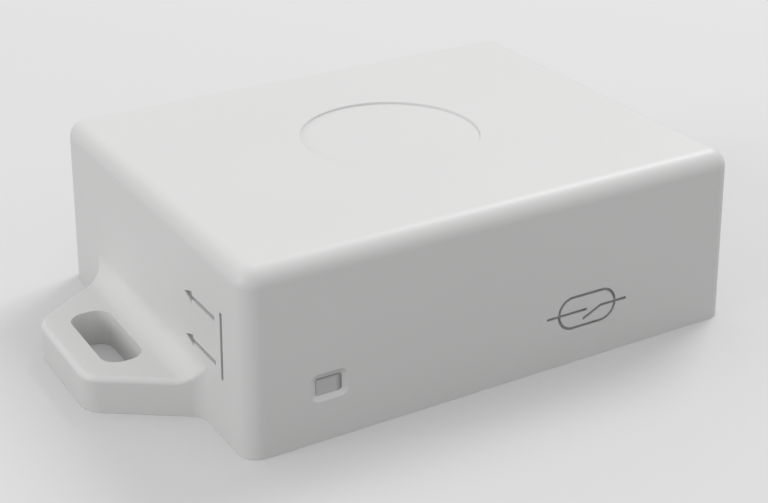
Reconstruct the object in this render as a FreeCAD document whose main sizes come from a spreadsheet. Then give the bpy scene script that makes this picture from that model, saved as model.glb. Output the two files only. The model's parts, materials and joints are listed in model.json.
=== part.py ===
import FreeCAD, Part

import math
import os

import Sketcher
from FreeCAD import Placement, Rotation, Vector

# A small wireless tag with a magnetic contact: a moulded housing with a slotted fixing lug,
# closed from below by a screwed cover, holding a lithium cell beside its circuit board.
# Millimetres. The origin is the centre of the underside, X runs along the housing away from
# the lug, the face with the light window looks to -Y, and Z points up.

SIZES = {
    # Housing walls
    "wall": 2.6,
    "roof": 2.0,
    "end_draft": 0.41,
    "side_draft": 0.59,
    "edge_round": 2.05,
    "cavity_round": 1.2,
    "label_radius": 10.2,
    "label_depth": 0.25,
    # Fixing lug at the left end
    "lug_reach": 10.15,
    "lug_thickness": 4.2,
    "lug_root_width": 28.0,
    "lug_end_width": 14.0,
    "lug_corner_round": 3.0,
    "lug_blend": 2.5,
    "lug_edge_round": 0.65,
    "slot_width": 4.5,
    "slot_length": 12.1,
    "slot_corner_round": 1.85,
    "slot_reach": 4.95,
    # Cover, gasket and screws in the underside
    "rim": 1.2,
    "rim_round": 1.6,
    "cover_plate": 1.6,
    "cover_plug": 0.9,
    "cover_gap": 0.15,
    "plug_gap": 0.25,
    "cover_edge_chamfer": 0.3,
    "gasket_thickness": 0.5,
    "gasket_gap": 0.1,
    "boss_radius": 2.9,
    "boss_inset": 2.2,
    "insert_radius": 1.75,
    "insert_length": 4.0,
    "cover_screw_radius": 1.25,
    "cover_screw_head": 2.3,
    "cover_screw_length": 8.0,
    "cover_screw_socket": 0.75,
    "cover_socket_depth": 1.2,
    "screw_hole_gap": 0.2,
    "head_sink": 0.1,
    "running_gap": 0.05,
    "slip_gap": 0.02,
    # Lithium cell and what holds it
    "cell_radius": 7.25,
    "cell_length": 33.5,
    "cell_button_radius": 2.6,
    "cell_button_height": 1.0,
    "cell_sleeve": 0.12,
    "cell_sleeve_lip": 1.4,
    "cell_can_round": 0.6,
    "cell_washer_thickness": 0.25,
    "cell_roof_gap": 0.4,
    "cell_wall_gap": 1.0,
    "contact_gap": 0.1,
    "contact_space": 0.65,
    "foam_thickness": 0.8,
    "foam_length": 24.0,
    "foam_width": 7.0,
    "foam_gap": 0.1,
    "saddle_gap": 0.3,
    "saddle_side": 1.6,
    "saddle_thickness": 1.5,
    "saddle_spacing": 18.0,
    "contact_thickness": 0.3,
    "contact_width": 6.0,
    "contact_foot": 3.2,
    "contact_rise": 3.5,
    "leaf_bow": 1.75,
    "pin_width": 0.8,
    "pin_spacing": 3.6,
    "pin_inset": 1.2,
    "pin_proud": 0.6,
    # Circuit board and its screws
    "board_thickness": 1.0,
    "board_gap": 1.5,
    "board_edge_gap": 0.7,
    "board_front_gap": 1.0,
    "board_front_depth": 25.9,
    "board_arm_width": 9.7,
    "notch_gap": 0.6,
    "boss_clearance": 0.4,
    "post_radius": 2.3,
    "post_inset": 5.2,
    "post_front_inset": 8.4,
    "post_cell_gap": 5.7,
    "board_screw_radius": 0.95,
    "board_screw_head": 1.8,
    "board_screw_head_height": 1.15,
    "board_screw_length": 5.0,
    "board_screw_round": 0.5,
    "board_screw_socket": 0.55,
    # Light window in the front wall
    "window_length": 4.17,
    "window_height": 3.1,
    "window_round": 0.9,
    "window_bevel": 0.5,
    "window_depth": 0.3,
    "window_lift": 1.06,
    "window_boss_gap": 1.6,
    "guide_round": 0.35,
    "guide_ledge": 0.08,
    "guide_flange": 0.5,
    "guide_flange_side": 0.38,
    "guide_bar_height": 1.2,
    "guide_bar_length": 2.2,
    "guide_gap": 0.1,
    "diode_length": 2.0,
    "diode_depth": 1.6,
    "diode_height": 1.4,
    "diode_edge_gap": 0.25,
    # Engraved marks
    "mark_width": 0.35,
    "end_mark_width": 0.52,
    "mark_depth": 0.4,
    "mark_low": 6.66,
    "mark_height": 7.54,
    "arrow_low": 7.9,
    "arrow_spacing": 4.94,
    "arrow_gap": 1.45,
    "arrow_length": 7.25,
    "arrow_head_length": 1.9,
    "arrow_head_half": 0.68,
    "symbol_length": 7.45,
    "symbol_height": 3.65,
    "symbol_lead": 1.6,
    "symbol_fixed_reach": 0.0,
    "symbol_knee": 1.85,
    "symbol_tip_out": 0.55,
    "symbol_tip_drop": 1.08,
    # Reed switch behind the front wall
    "reed_from_boss": 15.04,
    "reed_edge_gap": 1.8,
    "reed_lift": 0.1,
    "reed_glass_radius": 0.92,
    "reed_glass_length": 12.0,
    "reed_glass_wall": 0.22,
    "reed_glass_round": 0.4,
    "reed_seal": 1.8,
    "reed_wire_radius": 0.25,
    "reed_wire_reach": 1.2,
    "reed_wire_bend": 0.6,
    "reed_blade_width": 0.9,
    "reed_blade_thickness": 0.16,
    "reed_contact_gap": 0.16,
    "reed_overlap": 1.4,
    "lead_proud": 0.8,
    "lead_hole_gap": 0.12,
    # Pairing button under the board
    "button_right": 3.0,
    "button_from_edge": 11.5,
    "button_length": 4.2,
    "button_width": 3.2,
    "button_height": 0.9,
    "button_cap_radius": 0.95,
    "button_cap_height": 0.75,
    "button_cap_proud": 0.4,
    "button_travel": 0.2,
    # Radio module on the board
    "radio_left": 9.5,
    "radio_length": 15.0,
    "radio_width": 12.0,
    "radio_edge_gap": 0.4,
    "radio_thickness": 0.8,
    "shield_length": 10.4,
    "shield_width": 11.0,
    "shield_height": 1.6,
    "shield_wall": 0.2,
    "shield_edge_gap": 0.4,
    "shield_round": 0.5,
    "radio_chip_side": 6.0,
    "radio_chip_height": 0.9,
    "antenna_length": 6.5,
    "antenna_depth": 2.0,
    "antenna_height": 1.2,
    "antenna_edge_gap": 0.9,
    # Row of parts between the module and the cell
    "row_from_notch": 5.2,
    "chip_lift": 0.05,
    "memory_left": 13.5,
    "memory_length": 4.9,
    "memory_depth": 3.9,
    "memory_height": 1.5,
    "memory_pitch": 1.27,
    "leg_width": 0.4,
    "leg_reach": 1.05,
    "leg_thickness": 0.2,
    "sensor_left": 6.5,
    "sensor_length": 3.0,
    "sensor_depth": 2.5,
    "sensor_height": 0.95,
    "regulator_left": 1.0,
    "regulator_length": 2.9,
    "regulator_depth": 1.6,
    "regulator_height": 1.1,
    "regulator_pitch": 0.95,
    "coil_right": 5.5,
    "coil_side": 3.2,
    "coil_height": 1.4,
    "coil_chamfer": 0.5,
    "reservoir_right": 13.5,
    "reservoir_length": 7.3,
    "reservoir_depth": 4.3,
    "reservoir_height": 2.8,
    "crystal_right": 5.0,
    "crystal_from_edge": 8.0,
    "crystal_length": 3.2,
    "crystal_depth": 1.5,
    "crystal_height": 0.8,
    "crystal_round": 0.6,
    "header_right": 13.0,
    "header_from_edge": 12.0,
    "header_pitch": 1.27,
    "header_height": 2.2,
    "header_pin": 0.4,
    "header_pin_proud": 2.6,
    # Small chips
    "chip_length": 1.6,
    "chip_depth": 0.8,
    "capacitor_height": 0.8,
    "resistor_height": 0.45,
    "chip_pitch": 1.9,
    "chip_row": 4.1,
    "pad_radius": 0.6,
    "pad_thickness": 0.05,
    "pad_pitch": 2.2,
}

document = FreeCAD.newDocument("wireless_tag")
sheet = document.addObject("Spreadsheet::Sheet", "dims")
for row, (alias, value) in enumerate(SIZES.items(), 1):
    sheet.set(f"A{row}", alias)
    sheet.set(f"B{row}", str(value))
    sheet.setAlias(f"B{row}", alias)
document.recompute()

# Heights, from the underside up
COVER_TOP = "(dims.cover_plate + dims.cover_plug)"
LEDGE = "(dims.cover_plate + dims.gasket_thickness)"
BOARD_UNDER = f"({COVER_TOP} + dims.board_gap)"
BOARD_TOP = f"({BOARD_UNDER} + dims.board_thickness)"
CELL_LOW = f"({COVER_TOP} + dims.foam_thickness + dims.foam_gap)"
CELL_Z = f"({CELL_LOW} + dims.cell_radius)"
CEILING = f"({CELL_Z} + dims.cell_radius + dims.cell_roof_gap)"
TOP = f"({CEILING} + dims.roof)"
REED_Z = f"({BOARD_TOP} + dims.reed_lift + dims.reed_glass_radius)"
WINDOW_Z = f"({BOARD_TOP} + dims.window_lift)"
ROW_Z = f"({BOARD_TOP} + dims.chip_lift)"

# Lengths and widths, from the inside out, at the level of the underside
NOTCH_HALF = "(dims.cell_length / 2 + dims.contact_space)"
BOARD_HALF = f"({NOTCH_HALF} + dims.board_arm_width)"
CAVITY_HALF_LENGTH = f"({BOARD_HALF} + dims.board_edge_gap)"
CAVITY_WIDTH = ("(dims.board_front_gap + dims.board_front_depth + dims.notch_gap"
                " + 2 * dims.cell_radius + dims.cell_wall_gap)")
CAVITY_HALF_WIDTH = f"({CAVITY_WIDTH} / 2)"
BASE_HALF_LENGTH = f"({CAVITY_HALF_LENGTH} + dims.wall)"
BASE_HALF_WIDTH = f"({CAVITY_HALF_WIDTH} + dims.wall)"
RIM_HALF_LENGTH = f"({BASE_HALF_LENGTH} - dims.rim)"
RIM_HALF_WIDTH = f"({BASE_HALF_WIDTH} - dims.rim)"
CEILING_SHARE = f"({CEILING} / {TOP})"
END_LEAN = f"atan(dims.end_draft / {TOP})"
SIDE_LEAN = f"atan(dims.side_draft / {TOP})"

# Places in plan
BOARD_FRONT = f"(dims.board_front_gap - {CAVITY_HALF_WIDTH})"
BOARD_BACK = f"({CAVITY_HALF_WIDTH} - dims.board_edge_gap)"
NOTCH_FRONT = f"({BOARD_FRONT} + dims.board_front_depth)"
CELL_Y = f"({NOTCH_FRONT} + dims.notch_gap + dims.cell_radius)"
BOSS_X = f"({CAVITY_HALF_LENGTH} - dims.boss_inset)"
BOSS_Y = f"({CAVITY_HALF_WIDTH} - dims.boss_inset)"
POST_X = f"({CAVITY_HALF_LENGTH} - dims.post_inset)"
POST_FRONT = f"(dims.post_front_inset - {CAVITY_HALF_WIDTH})"
POST_BACK = f"({CELL_Y} - dims.post_cell_gap)"
WINDOW_X = f"(dims.boss_radius + dims.window_boss_gap - {BOSS_X})"
REED_X = f"({BOSS_X} - dims.reed_from_boss)"
REED_Y = f"({BOARD_FRONT} + dims.reed_edge_gap)"
REED_LEAD = "(dims.reed_glass_length / 2 + dims.reed_wire_reach)"
ROW_Y = f"({NOTCH_FRONT} - dims.row_from_notch)"
SLOT_X = f"(-{BASE_HALF_LENGTH} - dims.slot_reach)"

HOLE_RADIUS = "(dims.cover_screw_radius + dims.screw_hole_gap)"
SINK_RADIUS = "(dims.cover_screw_head + dims.head_sink + dims.running_gap)"
FLOOR_LENGTH = "(dims.window_length - 2 * dims.window_bevel)"
FLOOR_HEIGHT = "(dims.window_height - 2 * dims.window_bevel)"
GUIDE_LENGTH = f"({FLOOR_LENGTH} - 2 * dims.guide_ledge)"
GUIDE_HEIGHT = f"({FLOOR_HEIGHT} - 2 * dims.guide_ledge)"
DIODE_FRONT = f"({BOARD_FRONT} + dims.diode_edge_gap)"
CONTACT_X = "(dims.cell_length / 2 + dims.contact_gap)"
LEAF_X = f"({CONTACT_X} + dims.leaf_bow)"
SEAL = "(dims.reed_glass_length / 2 - dims.reed_seal)"
CRYSTAL_Y = f"({BOARD_FRONT} + dims.crystal_from_edge)"
HEADER_Y = f"({BOARD_FRONT} + dims.header_from_edge)"
HEADER_COLUMNS = (-2, -1, 0, 1, 2)

CORNERS = [(side, end) for side in ("-", "") for end in ("-", "")]
BOSSES = [(side + BOSS_X, end + BOSS_Y) for side, end in CORNERS]
POSTS = [(side + POST_X, depth) for side in ("-", "") for depth in (POST_FRONT, POST_BACK)]
LEADS = [(f"{REED_X} {side} {REED_LEAD}", REED_Y) for side in "-+"]
CONTACT_PINS = [(f"{side}({root} + dims.contact_foot - dims.pin_inset)",
                 f"{CELL_Y} {end} dims.pin_spacing / 2")
                for side, root in (("-", LEAF_X), ("", CONTACT_X)) for end in "-+"]
HEADER_PINS = [(f"dims.header_right + {column} * dims.header_pitch",
                f"{HEADER_Y} {side} dims.header_pitch / 2")
               for column in HEADER_COLUMNS for side in "-+"]

PARTS = []


# Helpers that tie sketches and features to the sheet

def number(expression):
    """Gives the present value of an expression on the sheet."""
    found = sheet.evalExpression(str(expression))
    return float(getattr(found, "Value", found))


def new_body(name):
    """Starts a piece that is built from sketches and features."""
    body = document.addObject("PartDesign::Body", name)
    body.Label = name
    body.Placement = Placement()
    PARTS.append(body)
    return body


def origin_plane(body, role):
    """Finds one of the body's own three main planes."""
    return next(feature for feature in body.Origin.OriginFeatures if feature.Role == role)


def new_sketch(body, name, plane="XY_Plane", at=("0", "0", "0"), lean=None):
    """Places an empty sketch on one of the body's main planes, moved by expressions."""
    sketch = body.newObject("Sketcher::SketchObject", f"{body.Name}_{name}")
    sketch.AttachmentSupport = [(origin_plane(body, plane), "")]
    sketch.MapMode = "FlatFace"
    if lean:
        sketch.AttachmentOffset = Placement(Vector(), Rotation(Vector(1, 0, 0), 1))
        sketch.setExpression("AttachmentOffset.Rotation.Angle", lean)
    for letter, expression in zip("xyz", at):
        sketch.setExpression(f"AttachmentOffset.Base.{letter}", expression)
    return sketch


def tie(sketch, kind, places, expression):
    """Adds a dimension to a sketch and binds it to an expression."""
    index = sketch.addConstraint(Sketcher.Constraint(kind, *places, number(expression)))
    sketch.setExpression(f"Constraints[{index}]", expression)


def tie_point(sketch, shape, corner, x, y):
    """Binds one point of a line, arc or circle to its two coordinates."""
    tie(sketch, "DistanceX", (-1, 1, shape, corner), x)
    tie(sketch, "DistanceY", (-1, 1, shape, corner), y)


def draw_circles(sketch, radius, centres=(("0", "0"),)):
    """Draws a circle of one radius at each centre."""
    for x, y in centres:
        middle = Vector(number(x), number(y), 0)
        circle = sketch.addGeometry(Part.Circle(middle, Vector(0, 0, 1), number(radius)))
        tie(sketch, "Radius", (circle,), radius)
        tie_point(sketch, circle, 3, x, y)
    return sketch


def draw_outline(sketch, points, bows=None):
    """Draws a closed outline; bows gives the top and the centre of each side that curves."""
    bows = bows or {}
    spots = [Vector(number(x), number(y), 0) for x, y in points]
    sides = []
    for index, spot in enumerate(spots):
        after = spots[(index + 1) % len(spots)]
        if index in bows:
            crown, centre = bows[index]
            middle = Vector(number(crown[0]), number(crown[1]), 0)
            side = sketch.addGeometry(Part.Arc(spot, middle, after))
            level = abs(after.x - spot.x) > abs(after.y - spot.y)
            tie(sketch, ("DistanceX", "DistanceY")[level], (-1, 1, side, 3), centre[level])
        else:
            side = sketch.addGeometry(Part.LineSegment(spot, after))
        forward = sketch.getPoint(side, 1).distanceToPoint(spot) < 1e-6
        sides.append((side, (1, 2) if forward else (2, 1)))
    for index, (side, (start, _)) in enumerate(sides):
        before, (_, end) = sides[index - 1]
        sketch.addConstraint(Sketcher.Constraint("Coincident", before, end, side, start))
        tie_point(sketch, side, start, *points[index])
    return sketch


def draw_rectangle(sketch, left, right, low, high):
    """Draws a rectangle between four coordinates."""
    return draw_outline(sketch, [(left, low), (right, low), (right, high), (left, high)])


def draw_block(sketch, length, width, centre=("0", "0")):
    """Draws a rectangle of a length and width about a centre."""
    x, y = centre
    return draw_rectangle(sketch, f"{x} - {length} / 2", f"{x} + {length} / 2",
                          f"{y} - {width} / 2", f"{y} + {width} / 2")


def draw_hexagons(sketch, radius, centres):
    """Draws a hexagon at each centre, given the distance to its corners."""
    for x, y in centres:
        draw_outline(sketch, [(f"{x} + {radius} * cos({turn})", f"{y} + {radius} * sin({turn})")
                              for turn in range(0, 360, 60)])
    return sketch


def draw_rounded(sketch, length, width, radius, centre=("0", "0")):
    """Draws a rectangle with round corners about a centre."""
    x, y = (number(part) for part in centre)
    reach, rise, bend = number(length) / 2, number(width) / 2, number(radius)
    corners = [(1, -1, -90), (1, 1, 0), (-1, 1, 90), (-1, -1, 180)]
    arcs = []
    for across, up, start in corners:
        middle = Vector(x + across * (reach - bend), y + up * (rise - bend), 0)
        circle = Part.Circle(middle, Vector(0, 0, 1), bend)
        quarter = Part.ArcOfCircle(circle, math.radians(start), math.radians(start + 90))
        arcs.append(sketch.addGeometry(quarter))
    lines = []
    for index, arc in enumerate(arcs):
        after = arcs[(index + 1) % 4]
        line = Part.LineSegment(sketch.getPoint(arc, 2), sketch.getPoint(after, 1))
        lines.append(sketch.addGeometry(line))
    for index, arc in enumerate(arcs):
        sketch.addConstraint(Sketcher.Constraint("Tangent", lines[index - 1], 2, arc, 1))
        sketch.addConstraint(Sketcher.Constraint("Tangent", arc, 2, lines[index], 1))
        sketch.addConstraint(Sketcher.Constraint(("Vertical", "Horizontal")[index % 2], lines[index]))
    for arc in arcs[1:]:
        sketch.addConstraint(Sketcher.Constraint("Equal", arcs[0], arc))
    tie(sketch, "Radius", (arcs[0],), radius)
    tie(sketch, "DistanceX", (arcs[3], 3, arcs[0], 3), f"{length} - 2 * {radius}")
    tie(sketch, "DistanceY", (arcs[0], 3, arcs[1], 3), f"{width} - 2 * {radius}")
    tie_point(sketch, arcs[3], 3, f"{centre[0]} - {length} / 2 + {radius}",
              f"{centre[1]} - {width} / 2 + {radius}")
    return sketch


def draw_stadium(sketch, length, width, centre=("0", "0")):
    """Draws a long shape with full round ends about a centre."""
    x, y = centre
    left, right = f"{x} - ({length} - {width}) / 2", f"{x} + ({length} - {width}) / 2"
    low, high = f"{y} - {width} / 2", f"{y} + {width} / 2"
    return draw_outline(sketch, [(left, low), (right, low), (right, high), (left, high)],
                        {1: ((f"{right} + {width} / 2", y), (right, y)),
                         3: ((f"{left} - {width} / 2", y), (left, y))})


def pad(body, sketch, length, reverse=False, both=False):
    """Adds the sketch's area to the body over a length along the sketch's normal."""
    feature = body.newObject("PartDesign::Pad", f"{sketch.Name}_pad")
    feature.Profile = sketch
    feature.setExpression("Length", length)
    feature.Reversed = reverse
    if both:
        feature.Midplane = True
    sketch.Visibility = False
    document.recompute()
    return feature


def pocket(body, sketch, length, reverse=False):
    """Cuts the sketch's area out of the body against the sketch's normal."""
    before = body.Shape.Volume
    feature = body.newObject("PartDesign::Pocket", f"{sketch.Name}_pocket")
    feature.Profile = sketch
    feature.setExpression("Length", length)
    feature.Reversed = reverse
    document.recompute()
    assert body.Shape.Volume < before, f"{feature.Name} cuts nothing"
    return feature


def loft(body, kind, first, second):
    """Adds or cuts the straight-sided body between two sketches."""
    feature = body.newObject(f"PartDesign::{kind}Loft", f"{first.Name}_loft")
    feature.Profile = first
    feature.Sections = [second]
    feature.Ruled = True
    document.recompute()
    return feature


def revolve(body, sketch, axis, angle=360, reverse=False):
    """Turns the sketch's area round one of the sketch's own axes."""
    feature = body.newObject("PartDesign::Revolution", f"{sketch.Name}_turned")
    feature.Profile = sketch
    feature.ReferenceAxis = (sketch, [axis])
    feature.Angle = angle
    feature.Reversed = reverse
    document.recompute()
    return feature


def mirror(body, *roles):
    """Repeats the whole body across each of the named main planes in turn."""
    for role in roles:
        feature = body.newObject("PartDesign::Mirrored", f"{body.Name}_{role}_copy")
        feature.TransformMode = "Whole shape"
        feature.MirrorPlane = (origin_plane(body, role), [""])
        body.Tip = feature
        document.recompute()


def make_block(name, size, centre, low):
    """Makes a plain block from its length, depth and height, its centre and its lower level."""
    body = new_body(name)
    length, depth, height = size
    pad(body, draw_block(new_sketch(body, "plan", at=("0", "0", low)), length, depth, centre), height)
    return body


def lean_walls(body, choose, angle):
    """Drafts the faces that the test picks, turning them about the level of the underside."""
    tip = body.Tip
    names = [f"Face{index}" for index, face in enumerate(tip.Shape.Faces, 1)
             if choose(face.normalAt(0, 0))]
    feature = body.newObject("PartDesign::Draft", f"{tip.Name}_lean")
    feature.Base = (tip, names)
    feature.NeutralPlane = (origin_plane(body, "XY_Plane"), [""])
    feature.setExpression("Angle", angle)
    document.recompute()
    return feature


def soften(body, kind, choose, size):
    """Rounds or chamfers the edges of the body's last feature that the test picks."""
    tip = body.Tip
    names = [f"Edge{index}" for index, edge in enumerate(tip.Shape.Edges, 1)
             if not edge.Degenerated and choose(edge)]
    assert names, f"{body.Label} has no such edge"
    feature = body.newObject(f"PartDesign::{kind}", f"{tip.Name}_soft")
    feature.Base = (tip, names)
    feature.setExpression("Radius" if kind == "Fillet" else "Size", size)
    document.recompute()
    return feature


def ends(edge):
    """Gives the two end points of an edge."""
    return edge.Vertexes[0].Point, edge.Vertexes[-1].Point


def lies_at(edge, direction, level):
    """Tells whether an edge lies all the way at one level along a direction."""
    marks = [point.dot(direction) for point in edge.discretize(5)]
    return max(abs(mark - level) for mark in marks) < 1e-4


def stands_up(edge, least):
    """Tells whether an edge climbs by more than the least height."""
    low, high = ends(edge)
    return abs(high.z - low.z) > least


UP = Vector(0, 0, 1)


# Housing

def make_housing_shell():
    """The moulded housing: drafted box, fixing lug, bosses, posts, saddles and marks."""
    body = new_body("housing_shell")
    base = draw_rectangle(new_sketch(body, "base"), f"-{BASE_HALF_LENGTH}", BASE_HALF_LENGTH,
                          f"-{BASE_HALF_WIDTH}", BASE_HALF_WIDTH)
    pad(body, base, TOP)
    lean_walls(body, lambda normal: abs(normal.x) > 0.9, END_LEAN)
    lean_walls(body, lambda normal: abs(normal.y) > 0.9, SIDE_LEAN)
    height = number(TOP)
    soften(body, "Fillet", lambda edge: stands_up(edge, height / 2) or lies_at(edge, UP, height),
           "dims.edge_round")
    add_lug(body)
    hollow_out(body)
    add_bosses(body)
    add_saddles(body)
    cut_window(body)
    cut_marks(body)


def add_lug(body):
    """The flat lug with its slot, blended into the left end wall."""
    inner = f"(dims.wall / 2 - {BASE_HALF_LENGTH})"
    outer = f"(-{BASE_HALF_LENGTH} - dims.lug_reach)"
    slope = "((dims.lug_root_width - dims.lug_end_width) / 2 / dims.lug_reach)"
    root = f"(dims.lug_root_width / 2 + dims.wall / 2 * {slope})"
    tip = "(dims.lug_end_width / 2)"
    plan = draw_outline(new_sketch(body, "lug"), [(inner, f"-{root}"), (inner, root),
                                                  (outer, tip), (outer, f"-{tip}")])
    pad(body, plan, "dims.lug_thickness")
    far = number(outer)
    thickness = number("dims.lug_thickness")
    soften(body, "Fillet", lambda edge: stands_up(edge, thickness / 2)
           and ends(edge)[0].x < far + 0.01, "dims.lug_corner_round")
    soften(body, "Fillet", lambda edge: meets_wall(edge, thickness), "dims.lug_blend")
    soften(body, "Fillet", lambda edge: lies_at(edge, UP, thickness)
           and (abs(edge.CenterOfMass.y) > 1 or edge.CenterOfMass.x < far + 1), "dims.lug_edge_round")
    slot = draw_rounded(new_sketch(body, "slot", at=("0", "0", "2 * dims.lug_thickness")),
                        "dims.slot_width", "dims.slot_length", "dims.slot_corner_round", (SLOT_X, "0"))
    pocket(body, slot, "2 * dims.lug_thickness")


def meets_wall(edge, thickness):
    """Tells whether an edge lies where the lug runs into the left end wall."""
    lean = number("dims.end_draft") / number(TOP)
    start = -number(BASE_HALF_LENGTH)
    points = edge.discretize(5)
    on_wall = all(abs(point.x - start - lean * point.z) < 0.01 for point in points)
    low_enough = max(point.z for point in points) < thickness + 0.01
    return on_wall and low_enough and points[2].z > thickness / 4


def hollow_out(body):
    """The cavity, the rebate for the cover and the round recess on the top."""
    share = CEILING_SHARE
    low = draw_rounded(new_sketch(body, "cavity"), f"2 * {CAVITY_HALF_LENGTH}",
                       f"2 * {CAVITY_HALF_WIDTH}", "dims.cavity_round")
    high = draw_rounded(new_sketch(body, "ceiling", at=("0", "0", CEILING)),
                        f"2 * ({CAVITY_HALF_LENGTH} - dims.end_draft * {share})",
                        f"2 * ({CAVITY_HALF_WIDTH} - dims.side_draft * {share})", "dims.cavity_round")
    loft(body, "Subtractive", low, high)
    rebate = draw_rounded(new_sketch(body, "rebate"), f"2 * {RIM_HALF_LENGTH}",
                          f"2 * {RIM_HALF_WIDTH}", "dims.rim_round")
    pocket(body, rebate, LEDGE, reverse=True)
    label = draw_circles(new_sketch(body, "label", at=("0", "0", TOP)), "dims.label_radius")
    pocket(body, label, "dims.label_depth")


def add_bosses(body):
    """Corner bosses for the cover screws and posts for the board screws."""
    into_roof = "dims.roof / 2"
    bosses = draw_circles(new_sketch(body, "bosses", at=("0", "0", COVER_TOP)), "dims.boss_radius", BOSSES)
    pad(body, bosses, f"{CEILING} + {into_roof} - {COVER_TOP}")
    seats = draw_circles(new_sketch(body, "insert_seats", at=("0", "0", COVER_TOP)),
                         "dims.insert_radius + dims.slip_gap", BOSSES)
    pocket(body, seats, "dims.insert_length", reverse=True)
    bores = draw_circles(new_sketch(body, "screw_bores", at=("0", "0", COVER_TOP)), HOLE_RADIUS, BOSSES)
    pocket(body, bores, "dims.cover_screw_length", reverse=True)
    posts = draw_circles(new_sketch(body, "posts", at=("0", "0", BOARD_TOP)), "dims.post_radius", POSTS)
    pad(body, posts, f"{CEILING} + {into_roof} - {BOARD_TOP}")
    pilots = draw_circles(new_sketch(body, "post_bores", at=("0", "0", BOARD_TOP)),
                          "dims.board_screw_radius + dims.slip_gap", POSTS)
    pocket(body, pilots, "dims.board_screw_length", reverse=True)


def add_saddles(body):
    """Two ribs under the roof that cup the upper half of the cell."""
    cup = "(dims.cell_radius + dims.saddle_gap)"
    front, back = f"({CELL_Y} - {cup})", f"({CELL_Y} + {cup})"
    outside = f"({CAVITY_HALF_WIDTH} + dims.wall / 2)"
    over = f"({CEILING} + dims.roof / 2)"
    for name, middle in (("left_saddle", "-dims.saddle_spacing / 2"),
                         ("right_saddle", "dims.saddle_spacing / 2")):
        profile = new_sketch(body, name, "YZ_Plane", at=("0", "0", middle))
        draw_outline(profile, [(back, CELL_Z), (outside, CELL_Z), (outside, over),
                               (f"{front} - dims.saddle_side", over),
                               (f"{front} - dims.saddle_side", CELL_Z), (front, CELL_Z)],
                     {5: ((CELL_Y, f"{CELL_Z} + {cup}"), (CELL_Y, CELL_Z))})
        pad(body, profile, "dims.saddle_thickness", both=True)


def cut_window(body):
    """The bevelled window in the front wall and the hole for the light guide."""
    def frame(name, depth, length, height, corner):
        at = ("0", "0", f"{BASE_HALF_WIDTH} - {depth}")
        sketch = new_sketch(body, name, "XZ_Plane", at=at, lean=f"-{SIDE_LEAN}")
        return draw_rounded(sketch, length, height, corner, (WINDOW_X, WINDOW_Z))

    outer = frame("window", "0", "dims.window_length", "dims.window_height", "dims.window_round")
    inner = frame("window_floor", "dims.window_depth", FLOOR_LENGTH, FLOOR_HEIGHT, "dims.guide_round")
    loft(body, "Subtractive", outer, inner)
    hole = new_sketch(body, "guide_hole", "XZ_Plane", at=("0", "0", BASE_HALF_WIDTH))
    draw_rounded(hole, GUIDE_LENGTH, GUIDE_HEIGHT, "dims.guide_round", (WINDOW_X, WINDOW_Z))
    pocket(body, hole, "dims.wall + dims.side_draft")


def cut_marks(body):
    """Engraves the contact symbol on the front wall and the arrows on the left end wall."""
    def groove(name, draw):
        at = ("0", "0", BASE_HALF_WIDTH)
        sketch = new_sketch(body, name, "XZ_Plane", at=at, lean=f"-{SIDE_LEAN}")
        draw(sketch)
        pocket(body, sketch, "dims.mark_depth")

    half_mark = "dims.mark_width / 2"

    def capsule(sketch):
        for edge in (f"+ {half_mark}", f"- {half_mark}"):
            draw_stadium(sketch, f"(dims.symbol_length {edge} * 2)",
                         f"(dims.symbol_height {edge} * 2)", (REED_X, REED_Z))

    def line(sketch, left, right):
        draw_rectangle(sketch, left, right, f"{REED_Z} - {half_mark}", f"{REED_Z} + {half_mark}")

    outside = "(dims.symbol_length / 2 + dims.symbol_lead)"
    knee = f"({REED_X} + dims.symbol_knee)"
    tip = f"({REED_X} - dims.symbol_tip_out)"
    fall = "dims.symbol_tip_drop / (dims.symbol_knee + dims.symbol_tip_out)"
    thick = f"({half_mark} * sqrt(1 + pow({fall}; 2)))"
    groove("symbol_capsule", capsule)
    groove("symbol_fixed", lambda sketch: line(sketch, f"{REED_X} - {outside}",
                                               f"{REED_X} + dims.symbol_fixed_reach"))
    groove("symbol_lead", lambda sketch: line(sketch, knee, f"{REED_X} + {outside}"))
    groove("symbol_blade", lambda sketch: draw_outline(
        sketch, [(knee, f"{REED_Z} - {thick}"), (knee, f"{REED_Z} + {thick}"),
                 (tip, f"{REED_Z} - dims.symbol_tip_drop + {thick}"),
                 (tip, f"{REED_Z} - dims.symbol_tip_drop - {thick}")]))

    def end_groove(name, draw):
        at = ("0", "0", f"-{BASE_HALF_LENGTH}")
        sketch = new_sketch(body, name, "YZ_Plane", at=at, lean=END_LEAN)
        draw(sketch)
        pocket(body, sketch, "dims.mark_depth", reverse=True)

    half_line = "dims.end_mark_width / 2"
    end_groove("reed_line", lambda sketch: draw_rectangle(
        sketch, f"{REED_Y} - {half_line}", f"{REED_Y} + {half_line}", "dims.mark_low",
        "dims.mark_low + dims.mark_height"))
    tail = f"({REED_Y} + dims.arrow_gap)"
    point = f"({tail} + dims.arrow_length)"
    neck = f"({point} - dims.arrow_head_length)"
    for name, level in (("low_arrow", "dims.arrow_low"),
                        ("high_arrow", "(dims.arrow_low + dims.arrow_spacing)")):
        end_groove(name, lambda sketch, level=level: draw_outline(
            sketch, [(tail, f"{level} - {half_line}"), (neck, f"{level} - {half_line}"),
                     (neck, f"{level} - dims.arrow_head_half"), (point, level),
                     (neck, f"{level} + dims.arrow_head_half"), (neck, f"{level} + {half_line}"),
                     (tail, f"{level} + {half_line}")]))


# Window, cover and the pieces that hold the cover

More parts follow.
